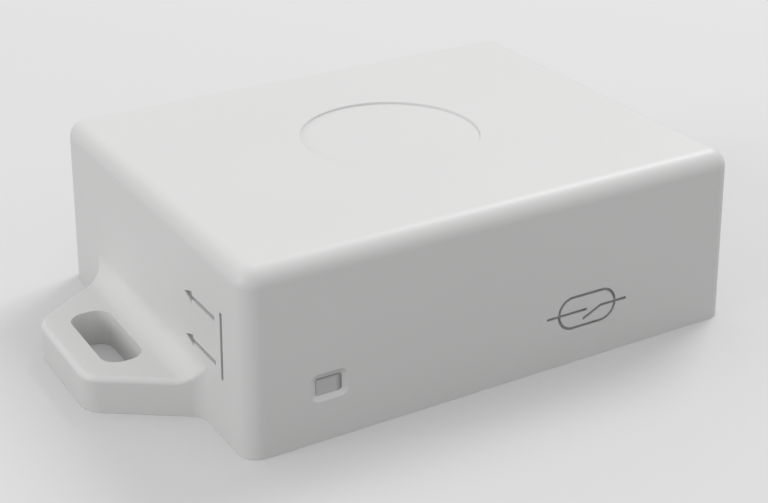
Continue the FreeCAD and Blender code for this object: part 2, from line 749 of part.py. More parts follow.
def make_light_guide():
    """The clear piece in the window: a stem in the wall, a flange behind it and a bar."""
    body = new_body("light_guide")
    window_lean = f"dims.side_draft * {WINDOW_Z} / {TOP}"
    front = f"({BASE_HALF_WIDTH} - {window_lean} - dims.window_depth)"
    high = f"({WINDOW_Z} + {GUIDE_HEIGHT} / 2 + dims.guide_flange_side)"
    flange_front = f"({CAVITY_HALF_WIDTH} - dims.side_draft * {high} / {TOP} - dims.slip_gap)"
    flange_back = f"({flange_front} - dims.guide_flange)"
    bar_end = f"({DIODE_FRONT} - dims.guide_gap)"
    stem = draw_rounded(new_sketch(body, "stem", "XZ_Plane", at=("0", "0", flange_front)),
                        f"({GUIDE_LENGTH} - 2 * dims.slip_gap)", f"({GUIDE_HEIGHT} - 2 * dims.slip_gap)",
                        "dims.guide_round", (WINDOW_X, WINDOW_Z))
    pad(body, stem, f"{front} - {flange_front}")
    flange = draw_block(new_sketch(body, "flange", "XZ_Plane", at=("0", "0", flange_back)),
                        f"({GUIDE_LENGTH} + 2 * dims.guide_flange_side)",
                        f"({GUIDE_HEIGHT} + 2 * dims.guide_flange_side)", (WINDOW_X, WINDOW_Z))
    pad(body, flange, "dims.guide_flange")
    bar = draw_block(new_sketch(body, "bar", "XZ_Plane", at=("0", "0", f"-({bar_end})")),
                     "dims.guide_bar_length", "dims.guide_bar_height", (WINDOW_X, WINDOW_Z))
    pad(body, bar, f"{flange_back} + {bar_end}")


def make_bottom_cover():
    """The cover: a plate in the rebate, a plug in the cavity and four sunk screw holes."""
    body = new_body("bottom_cover")
    plate = draw_rounded(new_sketch(body, "plate"), f"(2 * {RIM_HALF_LENGTH} - 2 * dims.cover_gap)",
                         f"(2 * {RIM_HALF_WIDTH} - 2 * dims.cover_gap)",
                         "(dims.rim_round - dims.cover_gap)")
    pad(body, plate, "dims.cover_plate")
    soften(body, "Chamfer", lambda edge: lies_at(edge, UP, 0), "dims.cover_edge_chamfer")
    plug = new_sketch(body, "plug", at=("0", "0", "dims.cover_plate"))
    pad(body, draw_plug(plug, "dims.plug_gap"), "dims.cover_plug")
    holes = draw_circles(new_sketch(body, "holes"), HOLE_RADIUS, BOSSES)
    pocket(body, holes, COVER_TOP, reverse=True)
    soften(body, "Chamfer", lambda edge: edge.isClosed() and lies_at(edge, UP, 0),
           f"{SINK_RADIUS} - {HOLE_RADIUS}")


def draw_plug(sketch, gap):
    """Draws the outline of the cavity's mouth, drawn in by a gap."""
    return draw_rounded(sketch, f"(2 * {CAVITY_HALF_LENGTH} - 2 * {gap})",
                        f"(2 * {CAVITY_HALF_WIDTH} - 2 * {gap})", f"(dims.cavity_round - {gap})")


def make_cover_gasket():
    """The flat seal between the cover's plate and the ledge round the cavity."""
    body = new_body("cover_gasket")
    ring = new_sketch(body, "ring", at=("0", "0", "dims.cover_plate"))
    draw_rounded(ring, f"(2 * {RIM_HALF_LENGTH} - 2 * dims.gasket_gap)",
                 f"(2 * {RIM_HALF_WIDTH} - 2 * dims.gasket_gap)", "(dims.rim_round - dims.gasket_gap)")
    draw_plug(ring, "(dims.plug_gap - dims.gasket_gap)")
    pad(body, ring, "dims.gasket_thickness")


def make_cover_screws():
    """Four sunk-head screws with hexagon sockets, their heads just inside the cover's face."""
    body = new_body("cover_screws")
    tip = "(dims.head_sink + dims.cover_screw_length)"
    neck = "(dims.head_sink + dims.cover_screw_head - dims.cover_screw_radius)"
    profile = new_sketch(body, "profile", "XZ_Plane", at=(BOSS_X, "0", BOSS_Y))
    draw_outline(profile, [("0", "dims.head_sink"), ("dims.cover_screw_head", "dims.head_sink"),
                           ("dims.cover_screw_radius", neck), ("dims.cover_screw_radius", tip), ("0", tip)])
    revolve(body, profile, "V_Axis")
    socket = draw_hexagons(new_sketch(body, "socket", at=("0", "0", "dims.head_sink")),
                           "dims.cover_screw_socket", [(BOSS_X, f"-{BOSS_Y}")])
    pocket(body, socket, "dims.cover_socket_depth", reverse=True)
    mirror(body, "YZ_Plane", "XZ_Plane")


def make_thread_inserts():
    """Brass tubes in the ends of the corner bosses, where the cover screws bite."""
    body = new_body("thread_inserts")
    rings = new_sketch(body, "rings", at=("0", "0", COVER_TOP))
    draw_circles(rings, "dims.insert_radius", BOSSES)
    draw_circles(rings, "dims.cover_screw_radius + dims.running_gap", BOSSES)
    pad(body, rings, "dims.insert_length")


# Circuit board and its screws

def make_circuit_board():
    """The board: notched for the cell and the bosses, drilled for screws, leads and pins."""
    body = new_body("circuit_board")
    plan = new_sketch(body, "plan", at=("0", "0", BOARD_UNDER))
    draw_outline(plan, [(f"-{BOARD_HALF}", BOARD_FRONT), (BOARD_HALF, BOARD_FRONT),
                        (BOARD_HALF, BOARD_BACK), (NOTCH_HALF, BOARD_BACK),
                        (NOTCH_HALF, NOTCH_FRONT), (f"-{NOTCH_HALF}", NOTCH_FRONT),
                        (f"-{NOTCH_HALF}", BOARD_BACK), (f"-{BOARD_HALF}", BOARD_BACK)])
    pad(body, plan, "dims.board_thickness")
    cuts = {
        "boss_notches": ("dims.boss_radius + dims.boss_clearance", BOSSES),
        "screw_holes": ("dims.board_screw_radius + dims.screw_hole_gap", POSTS),
        "lead_holes": ("dims.reed_wire_radius + dims.lead_hole_gap", LEADS),
        "contact_holes": ("dims.pin_width / 2 + dims.lead_hole_gap", CONTACT_PINS),
        "header_holes": ("dims.header_pin / 2 + dims.lead_hole_gap * 2", HEADER_PINS),
    }
    for name, (radius, centres) in cuts.items():
        cut = draw_circles(new_sketch(body, name, at=("0", "0", BOARD_UNDER)), radius, centres)
        pocket(body, cut, "dims.board_thickness", reverse=True)


def make_board_screws():
    """Four pan-head screws that hold the board to its posts from below."""
    body = new_body("board_screws")
    low = f"({BOARD_UNDER} - dims.board_screw_head_height)"
    heads = draw_circles(new_sketch(body, "heads", at=("0", "0", low)), "dims.board_screw_head", POSTS)
    pad(body, heads, "dims.board_screw_head_height")
    soften(body, "Fillet", lambda edge: edge.isClosed() and lies_at(edge, UP, number(low)),
           "dims.board_screw_round")
    shanks = draw_circles(new_sketch(body, "shanks", at=("0", "0", BOARD_UNDER)),
                          "dims.board_screw_radius", POSTS)
    pad(body, shanks, "dims.board_screw_length")
    sockets = draw_hexagons(new_sketch(body, "sockets", at=("0", "0", low)),
                            "dims.board_screw_socket", POSTS)
    pocket(body, sockets, "dims.board_screw_head_height / 2", reverse=True)


# Lithium cell and its contacts

def turn_cell_piece(name, points):
    """Turns a profile round the cell's axis, given as places along the axis and radii."""
    body = new_body(name)
    profile = new_sketch(body, "profile", "XZ_Plane", at=("0", CELL_Z, f"-{CELL_Y}"))
    revolve(body, draw_outline(profile, points), "H_Axis")
    return body


def make_cell():
    """The cell: steel can, shrunk-on sleeve, positive button and insulating washer."""
    can = "(dims.cell_radius - dims.cell_sleeve - dims.slip_gap)"
    base = "(dims.cell_sleeve + dims.slip_gap - dims.cell_length / 2)"
    shoulder = "(dims.cell_length / 2 - dims.cell_button_height)"
    body = turn_cell_piece("cell_can", [(base, "0"), (shoulder, "0"), (shoulder, can), (base, can)])
    soften(body, "Fillet", lambda edge: edge.isClosed(), "dims.cell_can_round")

    left, right = "(-dims.cell_length / 2)", f"({shoulder} + dims.slip_gap + dims.cell_sleeve)"
    lip = "(dims.cell_radius - dims.cell_sleeve_lip)"
    inside = "(dims.cell_radius - dims.cell_sleeve)"
    turn_cell_piece("cell_sleeve", [
        (left, lip), (left, "dims.cell_radius"), (right, "dims.cell_radius"), (right, lip),
        (f"{right} - dims.cell_sleeve", lip), (f"{right} - dims.cell_sleeve", inside),
        (f"{left} + dims.cell_sleeve", inside), (f"{left} + dims.cell_sleeve", lip)])

    tip = "dims.cell_length / 2"
    turn_cell_piece("cell_button", [(shoulder, "0"), (tip, "0"), (tip, "dims.cell_button_radius"),
                                    (shoulder, "dims.cell_button_radius")])
    outer = f"{lip} - dims.slip_gap"
    hole = "dims.cell_button_radius + dims.slip_gap"
    face = f"{shoulder} + dims.cell_washer_thickness"
    turn_cell_piece("cell_washer", [(shoulder, hole), (face, hole), (face, outer), (shoulder, outer)])


def make_contact(name, side, root, draw_spring):
    """A contact on the board: a foot, two pins and the spring that meets the cell."""
    body = new_body(name)
    for step in ("foot", "spring"):
        sketch = new_sketch(body, step, "XZ_Plane", at=("0", "0", f"-{CELL_Y}"))
        if step == "foot":
            draw_rectangle(sketch, f"{side}{root}", f"{side}({root} + dims.contact_foot)",
                           BOARD_TOP, f"{BOARD_TOP} + dims.contact_thickness")
        else:
            draw_spring(sketch)
        pad(body, sketch, "dims.contact_width", both=True)
    pins = new_sketch(body, "pins", at=("0", "0", f"{BOARD_UNDER} - dims.pin_proud"))
    for x, y in CONTACT_PINS:
        if x.startswith("-") == (side == "-"):
            draw_block(pins, "dims.contact_thickness", "dims.pin_width", (x, y))
    pad(body, pins, "dims.board_thickness + dims.pin_proud")


def make_contacts():
    """The flat positive contact and the bowed negative one."""
    plate = f"({CONTACT_X} + dims.contact_thickness)"
    make_contact("positive_contact", "", CONTACT_X, lambda sketch: draw_rectangle(
        sketch, CONTACT_X, plate, BOARD_TOP, f"{CELL_Z} + dims.contact_rise"))

    rise = f"({CELL_Z} - {BOARD_TOP})"
    bend = f"((pow({rise}; 2) + pow(dims.leaf_bow; 2)) / (2 * dims.leaf_bow))"
    foot, back = f"-{LEAF_X}", f"-({LEAF_X} + dims.contact_thickness)"
    crown, back_crown = f"-{CONTACT_X}", f"-{plate}"
    make_contact("negative_contact", "-", LEAF_X, lambda sketch: draw_outline(
        sketch, [(foot, BOARD_TOP), (foot, f"{CELL_Z} + {rise}"),
                 (back, f"{CELL_Z} + {rise}"), (back, BOARD_TOP)],
        {0: ((crown, CELL_Z), (f"{crown} - {bend}", CELL_Z)),
         2: ((back_crown, CELL_Z), (f"{back_crown} - {bend}", CELL_Z))}))


# Reed switch

def make_reed_switch():
    """The magnetic contact: glass capsule, two wire leads and the springy blade."""
    glass = new_body("reed_glass")
    end, outside = "(dims.reed_glass_length / 2)", "dims.reed_glass_radius"
    bore, inside = "(dims.reed_wire_radius + dims.slip_gap)", f"({outside} - dims.reed_glass_wall)"
    profile = new_sketch(glass, "profile", "XZ_Plane", at=(REED_X, REED_Z, f"-{REED_Y}"))
    draw_outline(profile, [(f"-{end}", bore), (f"-{end}", outside), (end, outside), (end, bore),
                           (SEAL, bore), (SEAL, inside), (f"-{SEAL}", inside), (f"-{SEAL}", bore)])
    revolve(glass, profile, "H_Axis")
    edge_radius = number(outside)
    soften(glass, "Fillet", lambda edge: edge.isClosed() and edge.Curve.Radius > edge_radius - 0.01,
           "dims.reed_glass_round")

    gap, thickness = "dims.reed_contact_gap / 2", "dims.reed_blade_thickness"
    overlap = "dims.reed_overlap / 2"
    fixed = new_body("reed_fixed_lead")
    bend_lead(fixed, "-", "+")
    add_blade(fixed, f"{REED_X} - {SEAL}", f"{REED_X} + {overlap}",
              f"{REED_Z} + {gap}", f"{REED_Z} + {gap} + {thickness}")
    bend_lead(new_body("reed_outer_lead"), "+", "-")
    add_blade(new_body("reed_moving_blade"), f"{REED_X} - {overlap}",
              f"{REED_X} + {SEAL} - dims.slip_gap", f"{REED_Z} - {gap} - {thickness}", f"{REED_Z} - {gap}")


def bend_lead(body, side, inward):
    """A wire that rises through the board, bends and runs into the end of the glass."""
    pin = f"({REED_X} {side} {REED_LEAD})"
    turn_x, turn_z = f"({pin} {inward} dims.reed_wire_bend)", f"({REED_Z} - dims.reed_wire_bend)"
    low = f"({BOARD_UNDER} - dims.lead_proud)"
    rise = new_sketch(body, "rise", at=("0", "0", low))
    pad(body, draw_circles(rise, "dims.reed_wire_radius", [(pin, REED_Y)]), f"{turn_z} - {low}")
    bend = new_sketch(body, "bend", at=(turn_x, REED_Y, turn_z))
    draw_circles(bend, "dims.reed_wire_radius", [(f"{side}dims.reed_wire_bend", "0")])
    revolve(body, bend, "V_Axis", 90, reverse=side == "+")
    run = new_sketch(body, "run", "YZ_Plane", at=("0", "0", turn_x))
    pad(body, draw_circles(run, "dims.reed_wire_radius", [(REED_Y, REED_Z)]),
        f"{REED_LEAD} - dims.reed_wire_bend - {SEAL}", reverse=side == "+")


def add_blade(body, left, right, low, high):
    """A flat blade inside the glass."""
    blade = new_sketch(body, "blade", "XZ_Plane", at=("0", "0", f"-{REED_Y}"))
    pad(body, draw_rectangle(blade, left, right, low, high), "dims.reed_blade_width", both=True)


# Pairing button

def make_button():
    """The button under the board, reached with the cover off: its body and its moving cap."""
    under = f"({BOARD_UNDER} - dims.button_height)"
    place = ("dims.button_right", f"({BOARD_FRONT} + dims.button_from_edge)")
    body = make_block("button_body", ("dims.button_length", "dims.button_width", "dims.button_height"),
                      place, under)
    bore = draw_circles(new_sketch(body, "bore", at=("0", "0", under)),
                        "dims.button_cap_radius + dims.running_gap", [place])
    sunk = "dims.button_cap_height - dims.button_cap_proud"
    pocket(body, bore, f"{sunk} + dims.button_travel + dims.running_gap", reverse=True)
    cap = new_body("button_cap")
    plan = new_sketch(cap, "plan", at=("0", "0", f"{under} - dims.button_cap_proud"))
    pad(cap, draw_circles(plan, "dims.button_cap_radius", [place]), "dims.button_cap_height")


# Radio module

def make_radio_module():
    """The module: its small board, shielding can, chip and antenna."""
    left = "-dims.radio_left"
    front = f"({BOARD_FRONT} + dims.radio_edge_gap)"
    back = f"({front} + dims.radio_length)"
    top = f"({BOARD_TOP} + dims.radio_thickness)"
    make_block("radio_board", ("dims.radio_width", "dims.radio_length", "dims.radio_thickness"),
               (left, f"({front} + dims.radio_length / 2)"), BOARD_TOP)
    middle = (left, f"({back} - dims.shield_edge_gap - dims.shield_length / 2)")
    can = new_body("radio_shield")
    outside = new_sketch(can, "outside", at=("0", "0", top))
    draw_rounded(outside, "dims.shield_width", "dims.shield_length", "dims.shield_round", middle)
    pad(can, outside, "dims.shield_height")
    inside = new_sketch(can, "inside", at=("0", "0", top))
    draw_rounded(inside, "(dims.shield_width - 2 * dims.shield_wall)",
                 "(dims.shield_length - 2 * dims.shield_wall)",
                 "(dims.shield_round - dims.shield_wall)", middle)
    pocket(can, inside, "dims.shield_height - dims.shield_wall", reverse=True)
    make_block("radio_chip", ("dims.radio_chip_side", "dims.radio_chip_side", "dims.radio_chip_height"),
               middle, top)
    make_block("chip_antenna", ("dims.antenna_length", "dims.antenna_depth", "dims.antenna_height"),
               (left, f"({front} + dims.antenna_edge_gap + dims.antenna_depth / 2)"), top)


# Other parts on the board

def add_legs(body, x, depth, pitch, places, reach_front=True, reach_back=True):
    """Adds flat legs that run out from under a chip on the row."""
    legs = new_sketch(body, f"legs_{len(places)}", at=("0", "0", BOARD_TOP))
    out = f"({depth} / 2 + dims.leg_reach)"
    front, back = out if reach_front else "0", out if reach_back else "0"
    for place in places:
        middle = f"{x} + {place} * {pitch}"
        draw_rectangle(legs, f"{middle} - dims.leg_width / 2", f"{middle} + dims.leg_width / 2",
                       f"{ROW_Y} - {front}", f"{ROW_Y} + {back}")
    pad(body, legs, "dims.leg_thickness")


def make_row():
    """The row between the radio module and the cell: memory, sensor and power supply."""
    memory = make_block("memory_chip", ("dims.memory_length", "dims.memory_depth", "dims.memory_height"),
                        ("-dims.memory_left", ROW_Y), ROW_Z)
    add_legs(memory, "-dims.memory_left", "dims.memory_depth", "dims.memory_pitch",
             (-1.5, -0.5, 0.5, 1.5))
    make_block("motion_sensor", ("dims.sensor_length", "dims.sensor_depth", "dims.sensor_height"),
               ("-dims.sensor_left", ROW_Y), ROW_Z)
    regulator = make_block("voltage_regulator",
                           ("dims.regulator_length", "dims.regulator_depth", "dims.regulator_height"),
                           ("-dims.regulator_left", ROW_Y), ROW_Z)
    add_legs(regulator, "-dims.regulator_left", "dims.regulator_depth", "dims.regulator_pitch",
             (-1, 0, 1), reach_back=False)
    add_legs(regulator, "-dims.regulator_left", "dims.regulator_depth", "dims.regulator_pitch",
             (-1, 1), reach_front=False)
    coil = make_block("power_coil", ("dims.coil_side", "dims.coil_side", "dims.coil_height"),
                      ("dims.coil_right", ROW_Y), ROW_Z)
    height = number("dims.coil_height")
    soften(coil, "Chamfer", lambda edge: stands_up(edge, height / 2), "dims.coil_chamfer")
    make_block("reservoir_capacitor",
               ("dims.reservoir_length", "dims.reservoir_depth", "dims.reservoir_height"),
               ("dims.reservoir_right", ROW_Y), ROW_Z)


def make_front_parts():
    """The parts nearer the front wall: light source, crystal and service header."""
    make_block("status_diode", ("dims.diode_length", "dims.diode_depth", "dims.diode_height"),
               (WINDOW_X, f"({DIODE_FRONT} + dims.diode_depth / 2)"), BOARD_TOP)
    can = new_body("crystal")
    plan = new_sketch(can, "plan", at=("0", "0", BOARD_TOP))
    draw_rounded(plan, "dims.crystal_length", "dims.crystal_depth", "dims.crystal_round",
                 ("dims.crystal_right", CRYSTAL_Y))
    pad(can, plan, "dims.crystal_height")
    header = make_block("header_body", (f"({len(HEADER_COLUMNS)} * dims.header_pitch)",
                                        "(2 * dims.header_pitch)", "dims.header_height"),
                        ("dims.header_right", HEADER_Y), BOARD_TOP)
    holes = new_sketch(header, "holes", at=("0", "0", BOARD_TOP))
    hole = "(dims.header_pin + 2 * dims.slip_gap)"
    needles = new_body("header_pins")
    pins = new_sketch(needles, "pins", at=("0", "0", f"{BOARD_UNDER} - dims.lead_proud"))
    for place in HEADER_PINS:
        draw_block(holes, hole, hole, place)
        draw_block(pins, "dims.header_pin", "dims.header_pin", place)
    pocket(header, holes, "dims.header_height", reverse=True)
    pad(needles, pins, "dims.lead_proud + dims.board_thickness + dims.header_height"
                       " + dims.header_pin_proud")


def make_small_chips():
    """Capacitors, resistors and test pads, each kind in one piece group."""
    row = f"({ROW_Y} - dims.chip_row)"
    beside_crystal = f"({CRYSTAL_Y} + dims.chip_pitch)"
    capacitors = [("-dims.sensor_left", row), ("-dims.regulator_left", row), ("dims.coil_right", row)]
    capacitors += [(f"dims.crystal_right {side} dims.crystal_length / 2", beside_crystal) for side in "-+"]
    resistors = [(f"-dims.memory_left {side} dims.memory_pitch", row) for side in "-+"]
    resistors.append((f"{WINDOW_X} + dims.diode_length + dims.chip_length / 2",
                      f"({DIODE_FRONT} + dims.diode_depth / 2)"))
    for name, centres, height in (("chip_capacitors", capacitors, "dims.capacitor_height"),
                                  ("chip_resistors", resistors, "dims.resistor_height")):
        body = new_body(name)
        plan = new_sketch(body, "plan", at=("0", "0", BOARD_TOP))
        for centre in centres:
            draw_block(plan, "dims.chip_length", "dims.chip_depth", centre)
        pad(body, plan, height)
    pads = new_body("test_pads")
    places = [(f"{step} * dims.pad_pitch", f"({NOTCH_FRONT} - 2 * dims.pad_radius)")
              for step in (-2, -1, 0, 1, 2)]
    plan = draw_circles(new_sketch(pads, "plan", at=("0", "0", BOARD_TOP)), "dims.pad_radius", places)
    pad(pads, plan, "dims.pad_thickness")


def check_and_export():
    """Stops on any failed object, then writes one file for each piece."""
    document.recompute()
    for thing in document.Objects:
        faults = [state for state in thing.State if "Invalid" in state or "Error" in state]
        assert not faults, f"{thing.Name}: {faults}"
    os.makedirs("parts", exist_ok=True)
    for part in PARTS:
        shape = part.Shape
        assert not shape.isNull() and shape.isValid() and shape.Solids, f"{part.Label} has no valid solid"
        shape.exportStep(f"parts/{part.Label}.step")
        print(part.Label, "solids", len(shape.Solids), "volume", round(shape.Volume, 3))


make_housing_shell()
make_light_guide()
make_bottom_cover()
make_cover_gasket()
make_cover_screws()
make_thread_inserts()
make_block("foam_pad", ("dims.foam_length", "dims.foam_width", "dims.foam_thickness"),
           ("0", CELL_Y), COVER_TOP)
make_circuit_board()
make_board_screws()
make_cell()
make_contacts()
make_reed_switch()
make_button()
make_radio_module()
make_row()
make_front_parts()
make_small_chips()
check_and_export()
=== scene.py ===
import json
import math

import bpy
from bpy.props import FloatProperty, FloatVectorProperty, IntProperty, PointerProperty
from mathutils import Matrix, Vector

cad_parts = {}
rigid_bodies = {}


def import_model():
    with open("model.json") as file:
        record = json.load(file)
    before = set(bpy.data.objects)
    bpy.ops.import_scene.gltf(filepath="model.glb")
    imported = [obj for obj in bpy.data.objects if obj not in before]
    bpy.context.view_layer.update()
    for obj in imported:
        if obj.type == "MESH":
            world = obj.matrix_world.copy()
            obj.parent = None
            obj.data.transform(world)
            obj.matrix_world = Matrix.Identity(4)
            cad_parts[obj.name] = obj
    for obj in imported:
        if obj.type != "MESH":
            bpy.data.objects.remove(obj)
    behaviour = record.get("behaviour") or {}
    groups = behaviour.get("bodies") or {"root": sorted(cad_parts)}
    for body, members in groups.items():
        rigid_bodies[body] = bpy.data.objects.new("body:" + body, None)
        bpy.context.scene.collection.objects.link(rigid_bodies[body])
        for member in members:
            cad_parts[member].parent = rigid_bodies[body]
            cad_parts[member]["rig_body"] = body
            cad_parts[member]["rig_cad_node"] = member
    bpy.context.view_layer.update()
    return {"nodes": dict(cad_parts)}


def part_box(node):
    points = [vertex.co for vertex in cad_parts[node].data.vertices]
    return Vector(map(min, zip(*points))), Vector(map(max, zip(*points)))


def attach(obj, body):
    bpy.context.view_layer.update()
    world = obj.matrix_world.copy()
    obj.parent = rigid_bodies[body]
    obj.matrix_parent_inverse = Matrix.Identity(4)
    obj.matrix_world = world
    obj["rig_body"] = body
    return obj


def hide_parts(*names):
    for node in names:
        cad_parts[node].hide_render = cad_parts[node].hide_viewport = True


bl_info = {
    "name": "Wireless tag",
    "version": (1, 0, 0),
    "blender": (4, 5, 0),
    "location": "3D View > Sidebar > Tag",
    "description": "Dresses the wireless tag: its housing, cover, board and cell, and a studio",
    "category": "Object",
}

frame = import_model()


# Sizes and colours

def setting(kind, **options):
    """A short way to declare settings of one kind by name, description and default."""
    return lambda name, description, default: kind(name=name, description=description,
                                                   default=default, **options)


colour = setting(FloatVectorProperty, subtype="COLOR", size=3, min=0, max=1)
place = setting(FloatVectorProperty, subtype="XYZ", unit="LENGTH")
angles = setting(FloatVectorProperty, subtype="EULER", unit="ROTATION")
length = setting(FloatProperty, min=0, unit="LENGTH", precision=5)
power = setting(FloatProperty, min=0, unit="POWER")
share = setting(FloatProperty, min=0, max=1)
number = setting(FloatProperty, min=0)
count = setting(IntProperty, min=8, max=64)


class TagPlastics(bpy.types.PropertyGroup):
    """Colours and grain of the moulded and soft pieces."""
    housing: colour("Housing", "Colour of the moulded housing and cover", (0.79, 0.79, 0.785))
    guide: colour("Light guide", "Colour of the frosted light guide", (0.60, 0.60, 0.60))
    button: colour("Button", "Colour of the pairing button and the header", (0.02, 0.02, 0.022))
    chip: colour("Chip", "Colour of moulded chips", (0.03, 0.03, 0.032))
    sleeve: colour("Sleeve", "Colour of the cell's sleeve", (0.03, 0.11, 0.30))
    rubber: colour("Rubber", "Colour of the cover's seal", (0.02, 0.02, 0.021))
    foam: colour("Foam", "Colour of the pad under the cell", (0.045, 0.045, 0.048))
    paper: colour("Paper", "Colour of the cell's washer", (0.62, 0.60, 0.52))
    glass: colour("Glass", "Colour of the reed switch's capsule", (0.78, 0.92, 0.84))
    grain: length("Grain", "Size of the grain on moulded faces", 0.0003)
    roughness: share("Roughness", "Roughness of the housing", 0.42)
    # How dark the painted shade on the floors of the engraved marks is.
    mark_shade: share("Mark shade", "How much darker the floor of the engraved marks is", 0.38)
    # How dark the painted shade along the light guide's rim is.
    guide_shade: share("Guide shade", "How much darker the rim of the light guide is", 0.55)


class TagMetals(bpy.types.PropertyGroup):
    """Colours of the metal pieces."""
    steel: colour("Steel", "Colour of screws and cell can", (0.56, 0.56, 0.57))
    tinned: colour("Tinned", "Colour of tinned contacts, leads and cans", (0.66, 0.65, 0.62))
    brass: colour("Brass", "Colour of the thread inserts", (0.62, 0.43, 0.17))
    gold: colour("Gold", "Colour of gold pads and pins", (0.80, 0.58, 0.24))
    solder: colour("Solder", "Colour of the solder joints", (0.60, 0.60, 0.61))


class TagBoard(bpy.types.PropertyGroup):
    """Colours of the circuit boards and what sits on them."""
    mask: colour("Solder mask", "Colour of the main board", (0.010, 0.085, 0.035))
    module: colour("Module mask", "Colour of the radio module's board", (0.008, 0.02, 0.06))
    track: colour("Track", "Colour of tracks on the main board", (0.03, 0.17, 0.07))
    module_track: colour("Module track", "Colour of tracks on the module", (0.02, 0.05, 0.13))
    core: colour("Core", "Colour of the boards' cut edges", (0.35, 0.33, 0.18))
    track_pitch: length("Track pitch", "Distance between tracks", 0.0013)
    ceramic: colour("Ceramic", "Colour of small capacitors", (0.34, 0.23, 0.14))
    reservoir: colour("Reservoir", "Colour of the reservoir capacitor", (0.55, 0.24, 0.02))
    ferrite: colour("Ferrite", "Colour of the power coil", (0.045, 0.045, 0.047))
    diode: colour("Diode", "Colour of the light source", (0.85, 0.83, 0.70))
    antenna: colour("Antenna", "Colour of the chip antenna", (0.72, 0.73, 0.68))


class TagScrews(bpy.types.PropertyGroup):
    """Sizes of the two kinds of screws."""
    cover_core: length("Cover screw core", "Radius of the cover screws under the thread", 0.00101)
    cover_thread: length("Cover screw thread", "Outer radius of the cover screws' thread", 0.00124)
    cover_pitch: length("Cover screw pitch", "Climb of the cover screws' thread per turn", 0.00045)
    cover_head: length("Cover screw head", "Radius of the sunk heads", 0.0023)
    cover_socket: length("Cover screw socket", "Corner radius of the sunk heads' sockets", 0.00075)
    board_core: length("Board screw core", "Radius of the board screws under the thread", 0.00072)
    board_thread: length("Board screw thread", "Outer radius of the board screws' thread", 0.00094)
    board_pitch: length("Board screw pitch", "Climb of the board screws' thread per turn", 0.0008)
    board_head: length("Board screw head", "Radius of the board screws' heads", 0.0018)
    board_socket: length("Board screw socket", "Corner radius of the pan heads' sockets", 0.00055)
    steps: count("Thread steps", "Sides of one turn of a thread", 20)


class TagStudio(bpy.types.PropertyGroup):
    """The studio round the tag."""
    floor: colour("Floor", "Colour of the floor as it is seen", (0.80, 0.80, 0.80))
    floor_bounce: colour("Floor bounce", "Colour of the light that the floor throws back",
                         (0.27, 0.27, 0.27))
    floor_size: length("Floor size", "Length of the floor's sides", 6.0)
    key_power: power("Key power", "Power of the soft light at the left", 3.1)
    key_size: length("Key size", "Side of the soft light at the left", 0.6)
    key_place: place("Key place", "Where the soft light at the left hangs", (-1.2, 0.10, 0.45))
    top_power: power("Top power", "Power of the soft light overhead", 2.8)
    top_size: length("Top size", "Side of the soft light overhead", 0.35)
    top_place: place("Top place", "Where the soft light overhead hangs", (0.60, 0.30, 0.75))
    sky: number("Sky", "Strength of the even light from all round", 0.68)
    lens: number("Lens", "Focal length of the camera in millimetres", 71.954)
    camera_place: place("Camera place", "Where the camera stands", (-0.08262, -0.13888, 0.08418))
    camera_turn: angles("Camera turn", "How the camera is turned",
                        [math.radians(angle) for angle in (64.032, 0, -30.5)])


# Shader helpers

def link(tree, source, output, target, entry):
    tree.links.new(source.outputs[output], target.inputs[entry])


def feed(tree, entry, value):
    """Sets an input to a value, or links it where the value is a socket."""
    if isinstance(value, bpy.types.NodeSocket):
        tree.links.new(value, entry)
    else:
        entry.default_value = value


def math_node(tree, operation, *values):
    """Adds a Math node whose inputs are numbers or sockets, and gives its output."""
    node = tree.nodes.new("ShaderNodeMath")
    node.operation = operation
    for entry, value in zip(node.inputs, values):
        feed(tree, entry, value)
    return node.outputs[0]


def ramp(tree, value, low, high):
    """Gives 0 below low and 1 above high, with a soft step between."""
    node = tree.nodes.new("ShaderNodeMapRange")
    node.interpolation_type = "SMOOTHSTEP"
    node.inputs["From Min"].default_value = low
    node.inputs["From Max"].default_value = high
    tree.links.new(value, node.inputs["Value"])
    return node.outputs["Result"]


def within(tree, value, low, high):
    """Gives 1 between two limits and 0 outside them."""
    above = math_node(tree, "GREATER_THAN", value, low)
    return math_node(tree, "MULTIPLY", above, math_node(tree, "LESS_THAN", value, high))


def blend_colours(tree, mask, first, second):
    """Mixes two colours, each a value or a socket, by a mask."""
    node = tree.nodes.new("ShaderNodeMix")
    node.data_type = "RGBA"
    for label, value in (("A", first), ("B", second)):
        is_socket = isinstance(value, bpy.types.NodeSocket)
        feed(tree, node.inputs[label], value if is_socket else (*value, 1))
    tree.links.new(mask, node.inputs["Factor"])
    return node.outputs["Result"]


def separate(tree, vector):
    """Splits a vector into its three numbers."""
    node = tree.nodes.new("ShaderNodeSeparateXYZ")
    tree.links.new(vector, node.inputs[0])
    return node.outputs


def noise(tree, place, scale, detail):
    """Soft noise round the place that a socket gives."""
    node = tree.nodes.new("ShaderNodeTexNoise")
    feed(tree, node.inputs["Scale"], scale)
    node.inputs["Detail"].default_value = detail
    tree.links.new(place, node.inputs["Vector"])
    return node.outputs["Fac"]


# Shared shader effects

SOCKETS = {"Vector": "NodeSocketVector", "Stretch": "NodeSocketVector",
           "Colour": "NodeSocketColor"}


def new_group(name, inputs, outputs):
    """Makes an empty effect with its inputs and their values, and gives its two ends too."""
    group = bpy.data.node_groups.new(name, "ShaderNodeTree")
    for side, labels in (("INPUT", inputs), ("OUTPUT", outputs)):
        for label in labels:
            socket = group.interface.new_socket(
                label, in_out=side, socket_type=SOCKETS.get(label, "NodeSocketFloat"))
            if side == "INPUT" and inputs[label] is not None:
                socket.default_value = inputs[label]
    return group, group.nodes.new("NodeGroupInput"), group.nodes.new("NodeGroupOutput")


